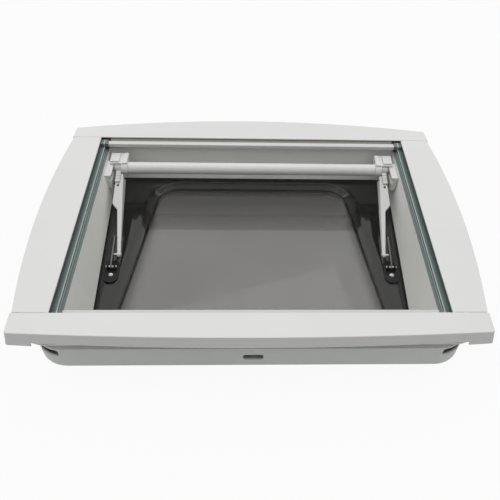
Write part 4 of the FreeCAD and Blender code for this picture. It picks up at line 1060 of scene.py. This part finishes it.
class HATCH_OT_brackets(Operator):
    """Add the black fittings on the dome with their pads, pins and screws"""

    bl_idname = "hatch.brackets"
    bl_label = "Brackets"

    def execute(self, context):
        for side in ("left", "right"):
            dress_node(
                f"bracket_{side}", f"fitting_{side}", 0.5 * MM,
                "Fitting black", "dome", "black_fitting", segments=3,
            )
        dress_node("bracket_pads", "pads", 0.3 * MM, "Rubber black", "dome", "seal_rubber")
        dress_node("bracket_pins", "pins", 0.5 * MM, "Bright chrome", "dome", "bright_steel", segments=3)
        dress_node("bracket_screws", "dome_screws", 0.2 * MM, "Bright chrome", "dome", "bright_steel")
        return {"FINISHED"}


class HATCH_OT_catches(Operator):
    """Add the catches that hold the handle's pegs"""

    bl_idname = "hatch.catches"
    bl_label = "Catches"

    def execute(self, context):
        for side in ("left", "right"):
            dress_node(
                f"catch_{side}", f"housing_{side}", 0.9 * MM,
                "Catch white", "frame", "catch_beige", segments=3,
            )
        dress_node("catch_screws", "housing_screws", 0.15 * MM, "Link steel", "frame", "bright_steel")
        return {"FINISHED"}


class HATCH_OT_hinges(Operator):
    """Add the hinges and the clamp screws"""

    bl_idname = "hatch.hinges"
    bl_label = "Hinges and Screws"

    def execute(self, context):
        leaves = (("frame", "upper"), ("dome", "lower"))
        for side in ("left", "right"):
            for body, level in leaves:
                dress_node(
                    f"hinge_{body}_leaf_{side}", f"{level}_leaf_{side}", 0.3 * MM,
                    "Fitting black", body, "black_fitting",
                )
        dress_node("hinge_pins", "hinge_rods", 0.3 * MM, "Link steel", "frame", "bright_steel")
        for body, level in leaves:
            dress_node(
                f"hinge_{body}_screws", f"{level}_leaf_screws", 0.15 * MM, "Link steel", body, "bright_steel",
            )
        dress_node("frame_screws", "clamp_screws", 0.4 * MM, "Link steel", "frame", "bright_steel")
        return {"FINISHED"}


# Stage

FLOOR_SIZE, FLOOR_HEIGHT, FLOOR_GREY, FLOOR_GLOW = 12, -0.4 * MM, 0.52, 0.94
SKY_BEND, SKY_STRENGTH, SKY_LEAST = 1.5, 1.22, 0.05
# The window's light rises over this range of directions, from the front to the back.
WINDOW_RISE = -0.5, 0.6
WINDOW_LIGHT, WINDOW_IN_MIRRORS, ROOM_IN_MIRRORS = 0.12, 0.6, 0.4


def rays(tree):
    """One where a camera, mirror or glass ray looks."""
    path = tree.nodes.new("ShaderNodeLightPath")
    mirrored = calculate(tree, "MAXIMUM", path.outputs["Is Glossy Ray"], path.outputs["Is Transmission Ray"])
    return calculate(tree, "MAXIMUM", path.outputs["Is Camera Ray"], mirrored)


def white_floor():
    """A pale floor that looks white and still takes the object's shadow."""
    material, tree, shader = new_finish("Studio floor")
    shader.inputs["Base Color"].default_value = (FLOOR_GREY, FLOOR_GREY, FLOOR_GREY, 1)
    shader.inputs["Roughness"].default_value = 0.9
    glow = tree.nodes.new("ShaderNodeEmission")
    glow.inputs["Strength"].default_value = 1.0
    both = tree.nodes.new("ShaderNodeMixShader")
    wire(tree, calculate(tree, "MULTIPLY", rays(tree), FLOOR_GLOW), both.inputs["Fac"])
    wire(tree, shader.outputs["BSDF"], both.inputs[1])
    wire(tree, glow.outputs["Emission"], both.inputs[2])
    wire(tree, both.outputs["Shader"], tree.nodes["Material Output"].inputs["Surface"])
    return material


def light_world(world):
    """Brighter overhead, a window behind the object for mirrors and glass, and white for the camera."""
    world.use_nodes = True
    tree = world.node_tree
    sky = tree.nodes["Background"]
    sky.inputs["Color"].default_value = (1, 1, 1, 1)
    _, y, z = axes(tree, "Generated")
    window = outside(tree, y, *WINDOW_RISE)
    high = calculate(tree, "POWER", calculate(tree, "MAXIMUM", z, 0), SKY_BEND)
    overhead = calculate(tree, "ADD", calculate(tree, "MULTIPLY", high, SKY_STRENGTH), SKY_LEAST)
    plain = calculate(tree, "ADD", overhead, calculate(tree, "MULTIPLY", window, WINDOW_LIGHT))
    mirrored = calculate(tree, "ADD", calculate(tree, "MULTIPLY", window, WINDOW_IN_MIRRORS), ROOM_IN_MIRRORS)
    path = tree.nodes.new("ShaderNodeLightPath")
    level = mix(tree, path.outputs["Is Glossy Ray"], plain, mirrored)
    level = mix(tree, path.outputs["Is Transmission Ray"], level, mirrored)
    level = mix(tree, path.outputs["Is Camera Ray"], level, 1.0)
    wire(tree, level, sky.inputs["Strength"])


def add_lamp(name, place, target, size, power):
    """A square lamp that mirrors don't show."""
    leave_edit()
    bpy.ops.object.light_add(type="AREA", location=place)
    lamp = bpy.context.object
    lamp.name = name
    lamp.data.size = size
    lamp.data.energy = power
    lamp.rotation_euler = (Vector(target) - Vector(place)).to_track_quat("-Z", "Y").to_euler()
    lamp.visible_glossy = False


class HATCH_OT_stage(Operator):
    """Add the floor, the lamp, the world and the camera"""

    bl_idname = "hatch.stage"
    bl_label = "Stage"

    def execute(self, context):
        leave_edit()
        bpy.ops.mesh.primitive_plane_add(size=FLOOR_SIZE, location=(0, 0, FLOOR_HEIGHT))
        floor = bpy.context.object
        floor.name = "studio_floor"
        floor.data.materials.append(white_floor())
        context.scene.world = bpy.data.worlds.new("Studio")
        light_world(context.scene.world)
        add_lamp("Softbox", place=(-0.2, 0.6, 3.2), target=(0, 0, 0.1), size=3.0, power=30)
        bpy.ops.object.camera_add(
            location=(-0.0097, -0.7565, 0.870),
            rotation=(math.radians(42.538), math.radians(-1.871), math.radians(-1.429)),
        )
        camera = bpy.context.object
        camera.name = "photo_camera"
        camera.data.lens = 39.68
        camera.data.sensor_width = 36
        camera.data.shift_x = -0.0408
        context.scene.camera = camera
        context.scene.view_settings.view_transform = "Standard"
        return {"FINISHED"}


STEPS = (
    HATCH_OT_trim,
    HATCH_OT_inner_frame,
    HATCH_OT_outer_frame,
    HATCH_OT_dome,
    HATCH_OT_seal,
    HATCH_OT_guides,
    HATCH_OT_blinds,
    HATCH_OT_handle,
    HATCH_OT_arms,
    HATCH_OT_brackets,
    HATCH_OT_catches,
    HATCH_OT_hinges,
    HATCH_OT_stage,
)


class HATCH_PT_panel(Panel):
    """Lists the hatch's sizes and steps"""

    bl_label = "Roof Hatch"
    bl_idname = "HATCH_PT_panel"
    bl_space_type = "VIEW_3D"
    bl_region_type = "UI"
    bl_category = "Hatch"

    def draw(self, context):
        for name in HatchSizes.__annotations__:
            self.layout.prop(context.scene.hatch_sizes, name)
        for step in STEPS:
            self.layout.operator(step.bl_idname)


CLASSES = (HatchSizes, *STEPS, HATCH_PT_panel)


def register():
    """Add the hatch's settings, steps and panel."""
    for item in CLASSES:
        bpy.utils.register_class(item)
    bpy.types.Scene.hatch_sizes = PointerProperty(type=HatchSizes)


def unregister():
    """Remove the hatch's settings, steps and panel."""
    del bpy.types.Scene.hatch_sizes
    for item in reversed(CLASSES):
        bpy.utils.unregister_class(item)


def main():
    """Run all steps."""
    register()
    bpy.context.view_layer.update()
    bpy.ops.hatch.trim()
    bpy.ops.hatch.inner_frame()
    bpy.ops.hatch.outer_frame()
    bpy.ops.hatch.dome()
    bpy.ops.hatch.seal()
    bpy.ops.hatch.guides()
    bpy.ops.hatch.blinds()
    bpy.ops.hatch.handle()
    bpy.ops.hatch.arms()
    bpy.ops.hatch.brackets()
    bpy.ops.hatch.catches()
    bpy.ops.hatch.hinges()
    bpy.ops.hatch.stage()


if __name__ == "__main__":
    main()
